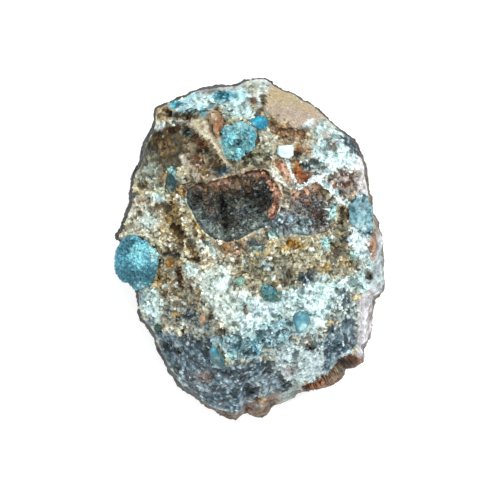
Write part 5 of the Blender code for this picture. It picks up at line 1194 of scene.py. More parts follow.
# ---------------------------------------------------------------- the stone
LINING_GAP = 0.4  # the stone's own hollow lies this far behind the crust
SOCKET_MOST, SOCKET_SHARE = 1.1, 0.8  # a socket is as deep as this, or this share of its crystal's depth
SOCKETS = [(outline, min(SOCKET_MOST, SOCKET_SHARE * depth)) for _, _, depth, outline in NODULES + FACETED]
SOCKET_EDGE = (-0.3, 0.6)  # and reaches that depth between these depths inside its outline
BROKEN_BRIM = (0.86, 1.0)  # a hollow's wall takes on the face's grain between these shares of its way across


def skin_dents(x, y, z):
    """How far the nodule's weathered skin is dented."""
    return SKIN_DEPTH + waves(x, y, z, SKIN_DENTS)


def bowl(across, angle, mouth, depth, lean, inwards, steep=BOWL_STEEPNESS):
    """A bowl hung from its mouth: across is 1 at the mouth's edge and 0 in the middle of the floor."""
    centre = middle(mouth)
    turn = across ** (steep / 2.0) * math.pi / 2
    out = np.sin(turn) ** (2.0 / steep)
    down = np.cos(turn).clip(0.0) ** (2.0 / steep)
    edge = reach(mouth, centre, angle)
    level = 1.0 - across**2
    swelling = wobble(*around((0.0, 0.0), np.sqrt(1.0 - level**2), angle), level, *BOWL_WAVES)
    inwards = inwards + BOWL_SWELL * swelling * down**0.3
    edge_x, edge_y = around(centre, edge, angle)
    brim = face_height(edge_x, edge_y)
    broken = (surface(edge_x, edge_y) - brim) * smooth(*BROKEN_BRIM, across)
    floor = face_height(*centre[:, None])
    x, y = around(centre, (edge - inwards) * out, angle)
    z = floor + (brim - floor) * across + broken - (depth - inwards) * down
    return x + lean[0] * down, y + lean[1] * down, z


def face_points(x, y, share):
    """The face's points with its forms, its hollows and its sockets."""
    z = surface(x, y, share)
    for _, mouth, depth, lean, _ in HOLLOWS:
        across, angle = from_middle(mouth, x, y)
        inside = np.nonzero(across < 1.0)[0]
        across, angle = across[inside], angle[inside]
        behind = -LINING_GAP * smooth(*CRUST_FADE, across)
        x[inside], y[inside], z[inside] = bowl(across, angle, mouth, depth, lean, behind)
    for outline, depth in SOCKETS:
        z = z - depth * smooth(*SOCKET_EDGE, depth_inside(outline, x, y))
    return x, y, z


def stone_shape(unit):
    """Where each point of the ball goes: its cap to the face, its belt to the side, its foot to the back."""
    angle = np.arctan2(unit[:, 1], unit[:, 0])
    from_top = area_above(unit)
    face_share = np.sqrt(np.clip(from_top / FACE_AREA, 0.0, 1.0))
    back_share = np.sqrt(np.clip((1.0 - from_top) / BACK_AREA, 0.0, 1.0))
    down = np.clip((from_top - FACE_AREA) / SIDE_AREA, 0.0, 1.0)
    on_face, on_back = face_share < 1.0, back_share < 1.0

    outline, edge = reach(OUTLINE, (0, 0), angle), face_edge(angle)
    back = 1.0 / np.hypot(np.cos(angle) / BACK_HALF_WIDTH, np.sin(angle) / BACK_HALF_LENGTH)
    rim = face_height(*around((0.0, 0.0), edge, angle))
    widest = rim * WIDEST_SHARE
    over = np.clip(down / WIDEST_DOWN, 0.0, 1.0) * math.pi / 2
    under = np.clip((down - WIDEST_DOWN) / (1.0 - WIDEST_DOWN), 0.0, 1.0) * math.pi / 2

    radius = edge + (outline - edge) * np.sin(over) - (outline - back) * (1.0 - np.cos(under))
    height = widest + (rim - widest) * np.cos(over) - widest * np.sin(under)
    dents = skin_dents(*around((0.0, 0.0), radius, angle), height)
    radius = radius - dents * (RIM_DENTS * np.sin(2.0 * over) + np.sin(2.0 * under))
    radius = np.where(on_face, edge * face_share, np.where(on_back, back * back_share, radius))
    x, y = around((0.0, 0.0), radius, angle)
    z = np.where(on_back, 0.0, height)
    top = np.nonzero(on_face)[0]
    x[top], y[top], z[top] = face_points(x[top], y[top], face_share[top])
    return x, y, z


# How much darker the rind's edge is, by direction.
RIND_DARK = [
    (0, 0.2), (20, 0.4), (45, 0.86), (120, 0.9), (200, 0.92), (225, 0.8), (262, 0.5), (290, 0.2), (330, 0.1),
]
# Shares of the way down the side: where the rind's dark edge ends, where the plain underside starts, and
# the two sides of the brown line.
RIND_EDGE = (0.45, 0.25)
UNDERSIDE = (0.6 * WIDEST_DOWN, 1.3 * WIDEST_DOWN)
CONTOUR_TOP, CONTOUR_FOOT = (0.2, 0.28), (0.5, 0.42)
CONTOUR_SHARE = 0.65
SKIN_PATCHES, SKIN_STAINS, SKIN_SHADES, SKIN_SPECKS = (7.0, 71.0), (5.0, 37.0), (2.4, 53.0), (0.6, 3.0)
UNDERSIDE_STRAY, CONTOUR_STRAY = 0.3, 0.06  # how far the patches shift those lines


def skin_colour(x, y, z, down):
    """The weathered skin's tints, by direction, height and patches."""
    degrees = np.degrees(np.arctan2(y, x))
    patchy, stains = fractal(x, y, z, *SKIN_PATCHES), fractal(x, y, z, *SKIN_STAINS)
    contour = smooth(*CONTOUR_TOP, down + CONTOUR_STRAY * patchy) * smooth(*CONTOUR_FOOT, down)
    colour = tint_by_direction(SKIN, degrees)
    colour = mix(colour, tint("nodule_skin"), smooth(*UNDERSIDE, down + UNDERSIDE_STRAY * patchy))
    colour = mix(colour, tint("lilac"), 0.6 * smooth(0.1, 0.6, patchy))
    colour = mix(colour, tint("dark_earth"), 0.7 * smooth(-0.1, -0.6, stains))
    colour = mix(colour, tint("umber"), CONTOUR_SHARE * contour)
    rind = 1.0 - by_direction(RIND_DARK, degrees) * smooth(*RIND_EDGE, down)
    specks = grains(x, y, z, *SKIN_SPECKS)[1] - 0.5
    return shaded(colour, rind * (1.0 + 0.4 * fractal(x, y, z, *SKIN_SHADES) + 0.25 * specks))


BACK_BANDS, BACK_STRAY = (7.0, 13.0), 0.12


def back_colour(x, y, z):
    """The flat back: pale calcite banded with brown towards its edge."""
    ring = np.hypot(x / BACK_HALF_WIDTH, y / BACK_HALF_LENGTH) + BACK_STRAY * wobble(x, y, z, *BACK_BANDS)
    colour = np.tile(tint("grey_cream"), (len(x), 1))
    colour = mix(colour, tint("chalk"), smooth(0.45, 0.2, ring))
    colour = mix(colour, tint("hazel"), 0.6 * smooth(0.62, 0.7, ring) * smooth(0.82, 0.74, ring))
    return mix(colour, tint("slate"), 0.8 * smooth(0.85, 0.95, ring))


FACE_BASE = "cream"
GRAIN_CONTRAST = 0.2  # how much the face's grains differ in brightness
RIM_LINE, RIM_LINE_STRAY = (2.0, 53.0), 0.02  # the skin starts along a wavering line
NUMBERED_GRAINS, SPECKS = (1.0, 7.0), (0.5, 23.0)
# The parts of the face: where blue over red and green make it warm, cold, dark or pale.
WARM, COLD, DARK = (0.0, -0.08), (0.0, 0.06), (0.4, 0.2)
COLD_CREVICE = (-0.04, 0.08)
# Blotches of those parts: tint, scale and start of their noise, where they begin, share.
BLOTCHES = [
    ("warm", "umber", 2.4, 3.0, 0.36, 0.4), ("warm", "ochre", 2.6, 15.0, 0.3, 0.35),
    ("warm", "black", 0.8, 39.0, 0.45, 0.5), ("cold", "black", 2.8, 51.0, 0.05, 0.75),
    ("cold", "white", 1.2, 63.0, 0.32, 0.7), ("cold", "navy", 1.2, 99.0, 0.1, 0.7),
    ("pale", "grey_teal", 1.5, 75.0, 0.36, 0.4), ("pale", "dark_earth", 1.0, 87.0, 0.42, 0.4),
]
BLOTCH_EDGE = 0.16
# Odd grains of those parts: tint, lowest and highest number drawn, share.
ODD_GRAINS = [
    ("warm", "umber", 0.0, 0.05, 0.6), ("warm", "ochre", 0.05, 0.12, 0.6), ("warm", "ink", 0.12, 0.17, 0.6),
    ("warm", "white", 0.94, 1.0, 0.6), ("cold", "navy", 0.0, 0.25, 0.8),
    ("cold", "pale_slate", 0.78, 0.93, 0.7), ("cold", "white", 0.93, 1.0, 0.6),
    ("pale", "black", 0.0, 0.035, 0.7), ("pale", "hazel", 0.035, 0.06, 0.4), ("pale", "white", 0.9, 1.0, 0.5),
]
# How far the stone's crevices are darkened by dirt and painted shade, and how far painted highlight lightens
# its raised edges.
STONE_CREVICE, STONE_EDGE_LIGHT = 0.85, 0.45


def speckled(x, y, z, face, crumbly):
    """The face's paint, broken up by its grains, blotches and odd grains."""
    number, speck = grains(x, y, z, *NUMBERED_GRAINS)[1], grains(x, y, z, *SPECKS)[1]
    face = shaded(face, 1.0 + GRAIN_CONTRAST * crumbly * (2.0 * number - 1.0))
    bluer = face[:, 2] - face[:, 0]
    dark = smooth(*DARK, face[:, 1])
    zones = {"warm": crumbly * smooth(*WARM, bluer), "cold": smooth(*COLD, bluer) * dark, "pale": 1.0 - dark}
    for zone, name, scale, start, low, share in BLOTCHES:
        blotch = smooth(low, low + BLOTCH_EDGE, wobble(x, y, z, scale, start))
        face = mix(face, tint(name), share * zones[zone] * blotch)
    for zone, name, low, high, share in ODD_GRAINS:
        drawn = number if zone == "warm" else speck
        face = mix(face, tint(name), share * (drawn > low) * (drawn < high) * zones[zone])
    return face


def stone_colour(mesh, unit, face, crumbly):
    """The stone's tint at each point: face, side and back, with crevices darkened by dirt and painted shade
    and raised edges lightened by painted highlight.
    """
    x, y, z = places(mesh).T
    from_top = area_above(unit)
    down = (from_top - FACE_AREA) / SIDE_AREA
    on_skin = down + RIM_LINE_STRAY * wobble(x, y, z, *RIM_LINE) > 0.0
    face = speckled(x, y, z, face, crumbly)
    colour = np.where(on_skin[:, None], skin_colour(x, y, z, down), face)
    colour = np.where((1.0 - from_top < BACK_AREA)[:, None], back_colour(x, y, z), colour)
    # Crevices take a warm or a cold tint of dirt and painted shade, depending on how blue the stone is there.
    coldness = smooth(*COLD_CREVICE, colour[:, 2] - colour[:, 0])
    dirt_shade = mix(np.tile(WARM_DIRT_SHADE, (len(x), 1)), COLD_DIRT_SHADE, coldness)
    return dirt_shade_and_highlight(mesh, colour, STONE_CREVICE, dirt_shade, STONE_EDGE_LIGHT)


RELAX_ROUNDS = 2
LIP_RISE, LIP_FALL = 0.05, 2.0  # the stone's broken lip covers the edge of a hollow's crust
LIP_WIDTH = (0.07, 0.03)  # as shares of the hollow's radius
LIP_BARE = 0.7  # share of the crumbs that a lip lacks
# Shares of the way to the rim, and then down the side, where the fine relief of each starts and ends.
FINE_FACE, FINE_SKIN, FINE_SIDE = (1.0, 0.97), (1.0, 1.03), (0.9, 0.8)


def beside_mouths(x, y):
    """1 where a point lies close to the edge of either hollow, and 0 elsewhere."""
    off_edge = [np.abs(from_middle(mouth, x, y)[0] - 1.0) for _, mouth, *_ in HOLLOWS]
    return np.max([smooth(*LIP_WIDTH, off) for off in off_edge], axis=0)


def make_stone():
    """The stone: its forms, its paint and its fine relief."""
    settings = bpy.context.scene.specimen_stone
    mesh, unit = ball_mesh("stone", settings.divisions, stone_shape)
    points = places(mesh)
    from_top = area_above(unit)
    face_share = np.sqrt(from_top / FACE_AREA)
    on_face = face_share < 1.0
    lip = beside_mouths(*points.T[:2]) * on_face
    # Relaxing the forms spreads the points down their steep sides, before the fine relief.
    points += (1.0 - lip)[:, None] * (neighbours_smoothed(mesh, points, RELAX_ROUNDS) - points)
    put(mesh, points)
    face, crumbly = paint(FACE_BASE, *points.T, AREAS, SPOTS)
    fine = smooth(*FINE_FACE, face_share) * crumble(*points.T, crumbly)
    fine = np.where(lip > 0.0, np.maximum(fine, LIP_RISE - LIP_FALL * (1.0 - lip)), fine)
    skin = smooth(*FINE_SKIN, face_share) * smooth(*FINE_SIDE, (from_top - FACE_AREA) / SIDE_AREA)
    swell(mesh, np.where(on_face, fine, skin * weathered(*points.T)))
    store(mesh, "Tint", stone_colour(mesh, unit, face, crumbly), "FLOAT_COLOR")
    store(mesh, "Crumb", crumbly * on_face * (1.0 - LIP_BARE * lip), "FLOAT")
    ball_map(mesh, unit, 1.0 - BACK_AREA)
    return piece("stone", mesh, "Calcite stone", "calcite_matrix", "matrix")


RIBS_FROM, RIBS_TO = -69.0, -45.0  # directions in degrees
RIB_STRAY = 0.3  # as a share of the ribs' spacing
RIB_MIDDLE = (0.3, 0.9)  # how far round the side's upper curve their middles lie, in radians
RIB_RADII = [(1.0, 2.2), (0.14, 0.3), (0.35, 0.65)]  # along, across and out of the side
RIB_TINTS = [
    (-69, "liver"), (-64, "rust_red"), (-58, "rust"), (-54, "tan"), (-51, "rib_dark"), (-48, "rib_dark"),
    (-45, "rust_red"),
]
RIB_SHADES = (0.15, 1.0)
RIB_BENDS = [(0.2, 0.9), (0.08, 3.0)]
HEAD_SHADES = (1.1, 5.0)  # the noise that shades the ribs and the ledge's heads


def rib_place(draw, turn):
    """A rib's place on the side, its turn and its stretch."""
    angle = np.radians([turn])
    outline = reach(OUTLINE, (0, 0), angle)[0]
    edge = outline - by_direction(RIM_WIDTHS, turn)
    rim = by_direction(RIM_HEIGHTS, turn)
    over = draw.uniform(*RIB_MIDDLE)
    out = Vector((*np.cos(angle), *np.sin(angle), 0.0))
    down = Vector((0.0, 0.0, -rim * (1.0 - WIDEST_SHARE)))
    at = out * (edge + (outline - edge) * math.sin(over)) + Vector((0.0, 0.0, rim))
    at += down * (1.0 - math.cos(over))
    along = (out * (outline - edge) * math.cos(over) + down * math.sin(over)).normalized()
    aside = Vector((-out.y, out.x, 0.0))
    turned = Matrix((along, aside, along.cross(aside))).transposed().to_4x4()
    radii = [draw.uniform(*spread) for spread in RIB_RADII]
    return Matrix.Translation(at) @ turned @ Matrix.Diagonal((*radii, 1.0))


def make_ribs():
    """The rusty ribs that stand side by side, like a comb, down the lower right of the side."""
    draw = random.Random(5)
    whole, colours = bmesh.new(), []
    count = bpy.context.scene.specimen_stone.ribs
    for index in range(count):
        turn = RIBS_FROM + (RIBS_TO - RIBS_FROM) * (index + draw.uniform(-RIB_STRAY, RIB_STRAY)) / count
        place = rib_place(draw, turn)
        made = bmesh.ops.create_icosphere(whole, subdivisions=3, radius=1.0, matrix=place)["verts"]
        colours += [tint_by_direction(RIB_TINTS, turn) * draw.uniform(*RIB_SHADES)] * len(made)
    stir(whole, RIB_BENDS)
    mesh = as_mesh(whole, "rusty_ribs", MM)
    colours = shaded(np.array(colours), 1.0 + 0.6 * fractal(*places(mesh).T, *HEAD_SHADES))
    # The ribs' crevices are darkened with dirt and painted shade, and their raised edges are lightened with
    # painted highlight.
    store(mesh, "Tint", dirt_shade_and_highlight(mesh, colours, *RIB_DIRT_AND_SHADE), "FLOAT_COLOR")
    return piece("rusty_ribs", mesh, "Rusty ribs", "calcite_matrix")


# ---------------------------------------------------------------- the crusts
CRUST_STEEPNESS = 2.3  # the crust's crystal side slopes more than the wall behind it
CRUST_WAVES, CRUST_WAVE_RELIEF = (3.4, 23.0), 0.7
CRUST_CRYSTALS = [(1.5, 3.0, 0.4), (0.8, 17.0, 0.3)]  # the scale and start of each kind, and its height
CRYSTAL_LEAST = 0.3
CRUST_SHOWN = (0.06, 0.3)  # heights on the ball between which its crystals come up
CRUST_NUMBERS = (0.8, 17.0)
CRUST_SHADES = (0.7, 0.6)  # the darkest crystal, and how much brighter the brightest is
GLINTING = 0.92  # crystals with a number above this glint
GLINT_SHARE = 0.4
# Each crust's slot, and its share of the divisions.
CRUSTS = {"vug_crust": ("dark_druse", 1.0), "hollow_crust": ("rosy_druse", 0.75)}


def crust_shape(mouth, depth, lean, thickness):
    """A crust's shape: the ball's upper half is its crystal side and the lower half its hidden wall."""
    def shape(unit):
        angle = np.arctan2(unit[:, 1], unit[:, 0])
        across = np.sqrt(1.0 - np.abs(unit[:, 2]))
        above = unit[:, 2] > 0.0
        inner = thickness * smooth(*CRUST_FADE, across)
        shown = bowl(across, angle, mouth, depth, lean, inner, CRUST_STEEPNESS)
        hidden = bowl(across, angle, mouth, depth, lean, 0.0)
        return [np.where(above, here, there) for here, there in zip(shown, hidden)]
    return shape


def crust_relief(name, x, y, z):
    """How far a crust's crystals, lumps and hollows stand out of its smooth bowl."""
    tall = CRUST_WAVE_RELIEF * fractal(x, y, z, *CRUST_WAVES)
    for scale, start, high in CRUST_CRYSTALS:
        dome, number = grains(x, y, z, scale, start)
        tall = tall + high * dome * (CRYSTAL_LEAST + number)
    return with_lumps(tall, x, y, CRUST_LUMPS[name])


def make_crusts():
    """Both linings, each with its own tints."""
    settings = bpy.context.scene.specimen_crusts
    for name, *form in HOLLOWS:
        slot, share = CRUSTS[name]
        mesh, unit = ball_mesh(name + "_druse", round(settings.divisions * share), crust_shape(*form))
        x, y, z = places(mesh).T
        shown = smooth(*CRUST_SHOWN, unit[:, 2])
        swell(mesh, shown * crust_relief(name, x, y, z))
        base, areas, spots = CRUST_PAINT[name]
        number = grains(x, y, z, *CRUST_NUMBERS)[1]
        darkest, brighter = CRUST_SHADES
        colour = shaded(paint(base, x, y, z, areas, spots)[0], darkest + brighter * number)
        colour = mix(colour, tint("pale_slate"), GLINT_SHARE * (number > GLINTING))
        # The crust's crevices are darkened with dirt and painted shade, and its raised edges are lightened
        # with painted highlight.
        store(mesh, "Tint", dirt_shade_and_highlight(mesh, colour, *CRUST_DIRT_AND_SHADE), "FLOAT_COLOR")
        store(mesh, "Crumb", shown, "FLOAT")
        ball_map(mesh, unit, 0.5)
        piece(name + "_druse", mesh, "Druse", slot, name)


# The rosy ledge along the vug's right wall: X, Y and how far it lies below the face.
VUG_LEDGE = [
    (2.6, 19.0, 1.4), (4.4, 18.2, 2.0), (5.4, 16.6, 2.4), (6.3, 14.8, 2.4), (6.9, 13.2, 2.4),
    (6.4, 11.4, 2.6), (5.6, 9.8, 3.0), (4.9, 8.6, 3.2),
]
LEDGE_SPREAD = (0.32, 0.3, 0.6)
LEDGE_RADII = (0.2, 0.52)
HEAD_BENDS = [(0.16, 1.6), (0.08, 4.0)]
LEDGE_STAINS, LEDGE_STAIN_SHARE = (1.9, 9.0), 0.8
LEDGE_SHADE = (-2.2, 0.8)  # heights, from its mean level, between which the ledge comes out of the shade


def make_ledge():
    """The rosy ledge of rounded heads that hangs from the wall beside the vug's floor."""
    settings = bpy.context.scene.specimen_crusts
    draw = random.Random(8)
    whole = bmesh.new()
    x, y, drop = np.array(VUG_LEDGE).T
    level = face_height(x, y) - drop
    line = [Vector(at) for at in zip(x, y, level)]
    for index in range(settings.ledge_heads):
        along = index / settings.ledge_heads * (len(line) - 1)
        first = int(along)
        at = line[first].lerp(line[first + 1], along - first)
        at = at + Vector([draw.gauss(0.0, spread) for spread in LEDGE_SPREAD])
        radius = draw.uniform(*LEDGE_RADII)
        bmesh.ops.create_icosphere(whole, subdivisions=2, radius=radius, matrix=Matrix.Translation(at))
    stir(whole, HEAD_BENDS)
    mesh = as_mesh(whole, "vug_ledge", MM)
    x, y, z = places(mesh).T
    colour = np.tile(tint("salmon"), (len(x), 1))
    colour = shaded(colour, 1.0 + 0.7 * fractal(x, y, z, *HEAD_SHADES))
    stained = smooth(0.0, 0.4, wobble(x, y, z, *LEDGE_STAINS))
    colour = mix(colour, tint("liver"), LEDGE_STAIN_SHARE * stained)
    store(mesh, "Tint", shaded(colour, smooth(*LEDGE_SHADE, z - level.mean())), "FLOAT_COLOR")
    return piece("vug_ledge", mesh, "Rosy druse", "rosy_druse")


# ---------------------------------------------------------------- crystals in sockets
NODULE_FINISHES = {
    "blue_mineral": "Blue crystal", "azure_mineral": "Azure crystal", "teal_mineral": "Teal crystal",
    "pale_blue_mineral": "Pale blue crystal", "rosy_calcite": "Rosy calcite",
}
FEWEST_DIVISIONS = 6
HEAD_START, FINE_HEAD_START, LUMPY_START = 7.0, 29.0, 31.0
HEAD_LEAST, HEAD_SUNK = 0.4, 0.8  # the least head's height, and how far all are sunk, as shares of a head
FINE_HEADS = 0.5  # the fine heads' size and height, as a share of the heads'
LUMP_SCALE = 1.2  # the size of the uneven lumps, as a share of the crystal's rise
HEAD_SHADE, HEAD_SHADE_SPREADS = 0.8, (0.25, 0.2)


def nodule_shape(outline, rise, depth, lobes):
    """A rounded aggregate's smooth form and its lobes."""
    centre = middle(outline)

    def shape(unit):
        angle = np.arctan2(unit[:, 1], unit[:, 0])
        flat = np.hypot(unit[:, 0], unit[:, 1])
        x, y = around(centre, reach(outline, centre, angle) * flat, angle)
        above = unit[:, 2] > 0.0
        z = face_height(x, y) + np.where(above, rise, depth) * unit[:, 2]
        for lobe, radius, lift in lobes:
            share = np.hypot(x - lobe[0], y - lobe[1]) / radius
            z = z + np.where(above, lift * np.sqrt(np.clip(1.0 - share**2, 0.0, 1.0)), 0.0)
        return x, y, z
    return shape


def make_nodules():
    """The blue ball and the other rounded aggregates, each in its socket."""
    settings = bpy.context.scene.specimen_nodules
    for name, rise, depth, outline in NODULES:
        slot, share, size, tall, uneven, lobes, base, areas, spots = NODULE_LOOKS[name]
        divisions = max(FEWEST_DIVISIONS, round(settings.divisions * share))
        mesh, unit = ball_mesh(name + "_crystals", divisions, nodule_shape(outline, rise, depth, lobes))
        x, y, z = places(mesh).T
        dome, number = grains(x, y, z, size, HEAD_START)
        fine, fine_number = grains(x, y, z, size * FINE_HEADS, FINE_HEAD_START)
        rough = uneven * rise * fractal(x, y, z, LUMP_SCALE * rise, LUMPY_START)
        heads = tall * (dome * (HEAD_LEAST + number) - HEAD_SUNK)
        swell(mesh, rough + heads + FINE_HEADS * tall * fine * fine_number)
        spread, fine_spread = HEAD_SHADE_SPREADS
        colour = paint(base, x, y, z, areas, spots)[0]
        colour = shaded(colour, HEAD_SHADE + spread * number + fine_spread * fine_number)
        # The crystal's crevices are darkened with dirt and painted shade, and its raised edges are lightened
        # with painted highlight.
        store(mesh, "Tint", dirt_shade_and_highlight(mesh, colour, *NODULE_DIRT_AND_SHADE), "FLOAT_COLOR")
        ball_map(mesh, unit, 0.6)
        piece(name + "_crystals", mesh, NODULE_FINISHES[slot], slot, name)


# ---------------------------------------------------------------- flat-faced crystals
FACET_FINISHES = {
    "teal_mineral": "Teal facet", "white_calcite": "White cleavage", "honey_calcite": "Honey calcite",
}
FACET_TOP = 0.9  # levels above this share of the rise take the top's tilt
FACET_BENDS = [(0.22, 0.8), (0.05, 3.0)]
FACET_BLOOM, FACET_CONTRAST = (0.9, 5.0), 0.25
ORDER_DIGITS = 4  # digits of a millimetre that tell two points apart


def in_order(bm):
    """The same form built again in the order of its places, which a bevel leaves to chance."""
    places_used, rings = set(), []
    for face in bm.faces:
        ring = [vert.co.to_tuple(ORDER_DIGITS) for vert in face.verts]
        first = ring.index(min(ring))
        rings.append(ring[first:] + ring[:first])
        places_used.update(ring)
    bm.free()
    made = bmesh.new()
    verts = {place: made.verts.new(place) for place in sorted(places_used)}
    for ring in sorted(rings):
        made.faces.new([verts[place] for place in ring])
    return made


def facet_form(outline, rise, depth, rings, crown, bevel):
    """A flat-faced crystal: its outline drawn up from level to level, with worn edges."""
    cx, cy = middle(outline)
    ground = face_height(np.array([cx]), np.array([cy]))[0]
    about = Matrix.Translation((-cx, -cy, 0.0))
    bm = bmesh.new()
    top = bm.faces.new([bm.verts.new((*at, ground - depth)) for at in outline])
    for height, share in rings:
        covered = top if len(bm.faces) > 1 else None
        grown = bmesh.ops.extrude_face_region(bm, geom=[top])["geom"]
        top = next(part for part in grown if isinstance(part, bmesh.types.BMFace))
        if covered:
            bmesh.ops.delete(bm, geom=[covered], context="FACES_ONLY")
        for vert in top.verts:
            vert.co.z = ground + height * (rise if height > 0.0 else depth)
            if height > FACET_TOP:
                vert.co.z += crown[0] * (vert.co.x - cx) + crown[1] * (vert.co.y - cy)
        bmesh.ops.scale(bm, vec=(share, share, 1.0), space=about, verts=top.verts)
    bmesh.ops.recalc_face_normals(bm, faces=bm.faces)
    bmesh.ops.bevel(bm, geom=bm.edges[:], offset=bevel, affect="EDGES", segments=2, profile=0.5, material=-1)
    bm = in_order(bm)
    bmesh.ops.triangulate(bm, faces=bm.faces)
    bmesh.ops.subdivide_edges(bm, edges=bm.edges, cuts=3, use_grid_fill=True)
    bmesh.ops.triangulate(bm, faces=bm.faces)
    stir(bm, FACET_BENDS)
    return bm


def make_facets():
    """The flat-faced crystals, each in its socket."""
    settings = bpy.context.scene.specimen_facets
    for name, rise, depth, outline in FACETED:
        slot, rings, crown, base, spots = FACET_LOOKS[name]
        bm = facet_form(outline, rise, depth, rings, crown, settings.bevel / MM)
        mesh = as_mesh(bm, name + "_facets", MM)
        x, y, z = places(mesh).T
        colour = paint(base, x, y, z, [], spots)[0]
        colour = shaded(colour, 1.0 + FACET_CONTRAST * wobble(x, y, z, *FACET_BLOOM))
        # The crystal's crevices are darkened with dirt and painted shade, and its raised edges are lightened
        # with painted highlight.
        store(mesh, "Tint", dirt_shade_and_highlight(mesh, colour, *FACET_DIRT_AND_SHADE), "FLOAT_COLOR")
        piece(name + "_facets", mesh, FACET_FINISHES[slot], slot, name)


# ---------------------------------------------------------------- crumbs and tiny crystals
CRUMB_FLOOR = 0.35  # crumbs lie only where the surface is this crumbly
BATCH = 60  # small solids made at a time
SMALLNESS = 1.6  # above 1, small sizes are drawn more often
STRETCHES = (0.6, 1.25)  # a solid's sides, as shares of its size
CHIP_JITTER = 0.18  # how far a chip's corners stray, as a share of its size
CRYSTAL_LEAN = 0.7
CLEAVAGE = Matrix(((1, 0.26, 0, 0), (0, 1, 0.26, 0), (0, 0, 1, 0), (0, 0, 0, 1)))  # a rhomb's slant
CHIP_MAP_RADIUS = 0.42
# Whether the solids are chips, else crystals; how much their tints vary; the share that glints and how
# much brighter it is; and how far out they stand, as a share of their size.
CHIPS = (True, 0.22, (0.12, 0.3), 0.02)
POINTS = (False, 0.35, (0.07, 0.4), 0.15)
POINT_SIZES = (0.35, 0.8)  # millimetres


def any_turn(draw):
    """A turn in any direction."""
    return Euler([draw.uniform(0.0, 2.0 * math.pi) for _ in range(3)]).to_matrix().to_4x4()


def outwards(draw, normal):
    """A turn that stands a crystal roughly along the surface's normal."""
    lean = normal + CRYSTAL_LEAN * Vector([draw.uniform(-1.0, 1.0) for _ in range(3)])
    return lean.to_track_quat("Z", "Y").to_matrix().to_4x4()


def small_solid(part, draw, point, normal, size, chips, embed):
    """Adds one chip or crystal and gives its points."""
    turn = any_turn(draw) if chips else outwards(draw, normal)
    stretch = [size * draw.uniform(*STRETCHES) for _ in range(3)]
    place = Matrix.Translation(point + normal * size * embed) @ turn @ Matrix.Diagonal((*stretch, 1.0))
    if chips:
        made = bmesh.ops.create_cube(part, size=1.0, matrix=place @ CLEAVAGE)
    else:
        made = bmesh.ops.create_cone(
            part, cap_ends=True, cap_tris=True, segments=4, radius1=0.5, radius2=0.0, depth=1.2, matrix=place)
    for vert in made["verts"]:
        vert.co += Vector([draw.uniform(-1.0, 1.0) for _ in range(3)]) * size * CHIP_JITTER
    return made["verts"]


def scatter(name, host, count, sizes, kind):
    """Small solids on a host's surface, each tinted as the spot it sits on."""
    chips, variation, (glinting, glint), embed = kind
    draw = random.Random(name)
    points, normals = read(host.vertices, "co"), read(host.vertices, "normal")
    tints = read(host.attributes["Tint"].data, "color", 4)
    weight = read(host.attributes["Crumb"].data, "value", 1).astype(float)
    high = np.cumsum(np.clip(weight - CRUMB_FLOOR, 0.0, None))
    whole, colours, cells = bmesh.new(), [], []
    for start in range(0, count, BATCH):
        part = bmesh.new()
        for index in range(start, min(count, start + BATCH)):
            at = int(np.searchsorted(high, draw.random() * high[-1]))
            size = sizes[0] * (sizes[1] / sizes[0]) ** (draw.random() ** SMALLNESS) * MM
            made = small_solid(part, draw, Vector(points[at]), Vector(normals[at]), size, chips, embed)
            shade = 1.0 + variation * draw.uniform(-1.0, 1.0)
            if draw.random() < glinting:
                shade *= 1.0 + glint
            colours += [tints[at, :3] * shade] * len(made)
            cells += [index] * len(made)
        batch = as_mesh(part, name)
        whole.from_mesh(batch)
        bpy.data.meshes.remove(batch)
    bmesh.ops.triangulate(whole, faces=whole.faces)
    mesh = as_mesh(whole, name)
    store(mesh, "Tint", np.array(colours), "FLOAT_COLOR")
    chip_map(mesh, np.array(cells), math.ceil(math.sqrt(count)))
    return mesh


def chip_map(mesh, cells, side):
    """Every small solid unrolled about its own middle, each in a square of its own."""
    points = places(mesh)
    count = np.bincount(cells)
    centres = np.stack([np.bincount(cells, weights=points[:, axis]) / count for axis in range(3)], axis=1)
    away = points - centres[cells]
    away /= np.linalg.norm(away, axis=1)[:, None] + 1e-9
    radius = CHIP_MAP_RADIUS * np.sqrt(area_above(away))
    angle = np.arctan2(away[:, 1], away[:, 0])
    u, v = around((cells % side + 0.5, cells // side + 0.5), radius, angle)
    corners_at = corner_points(mesh)
    unroll(mesh, (u / side)[corners_at], (v / side)[corners_at])


def make_crumbs():
    """The loose crumbs on the face and the small crystals on the crusts."""
    settings = bpy.context.scene.specimen_crumbs
    sizes = (settings.smallest / MM, settings.largest / MM)
    stone = bpy.data.objects["stone"].data
    for name in ("crumbs_1", "crumbs_2"):
        mesh = scatter(name, stone, settings.count // 2, sizes, CHIPS)
        piece(name, mesh, "Loose crumbs", "calcite_matrix")
    for crust, count in (("vug_crust", settings.vug_count), ("hollow_crust", settings.hollow_count)):
        name = crust + "_druse_points"
        mesh = scatter(name, bpy.data.objects[crust + "_druse"].data, count, POINT_SIZES, POINTS)
        piece(name, mesh, "Druse", CRUSTS[crust][0])


# ---------------------------------------------------------------- stage, light and camera
SENSOR = 36.0  # millimetres
WIDEST_LEVEL = 14.0  # the height of the stone's widest contour, which the view's width is taken at
SKY_COLOUR, LAMP_COLOUR = (0.97, 0.985, 1.0, 1.0), (1.0, 0.985, 0.96)
LAMP_SIZE = 0.8  # metres
LAMPS = [  # name, place in metres, the setting that gives its power
    ("key light", (0.34, 0.42, 0.9), "key_power"),
    ("fill light", (-0.8, -0.3, 0.9), "fill_power"),
]


def add(name, data):
    """A new object in the scene."""
    made = bpy.data.objects.new(name, data)
    bpy.context.scene.collection.objects.link(made)
    return made


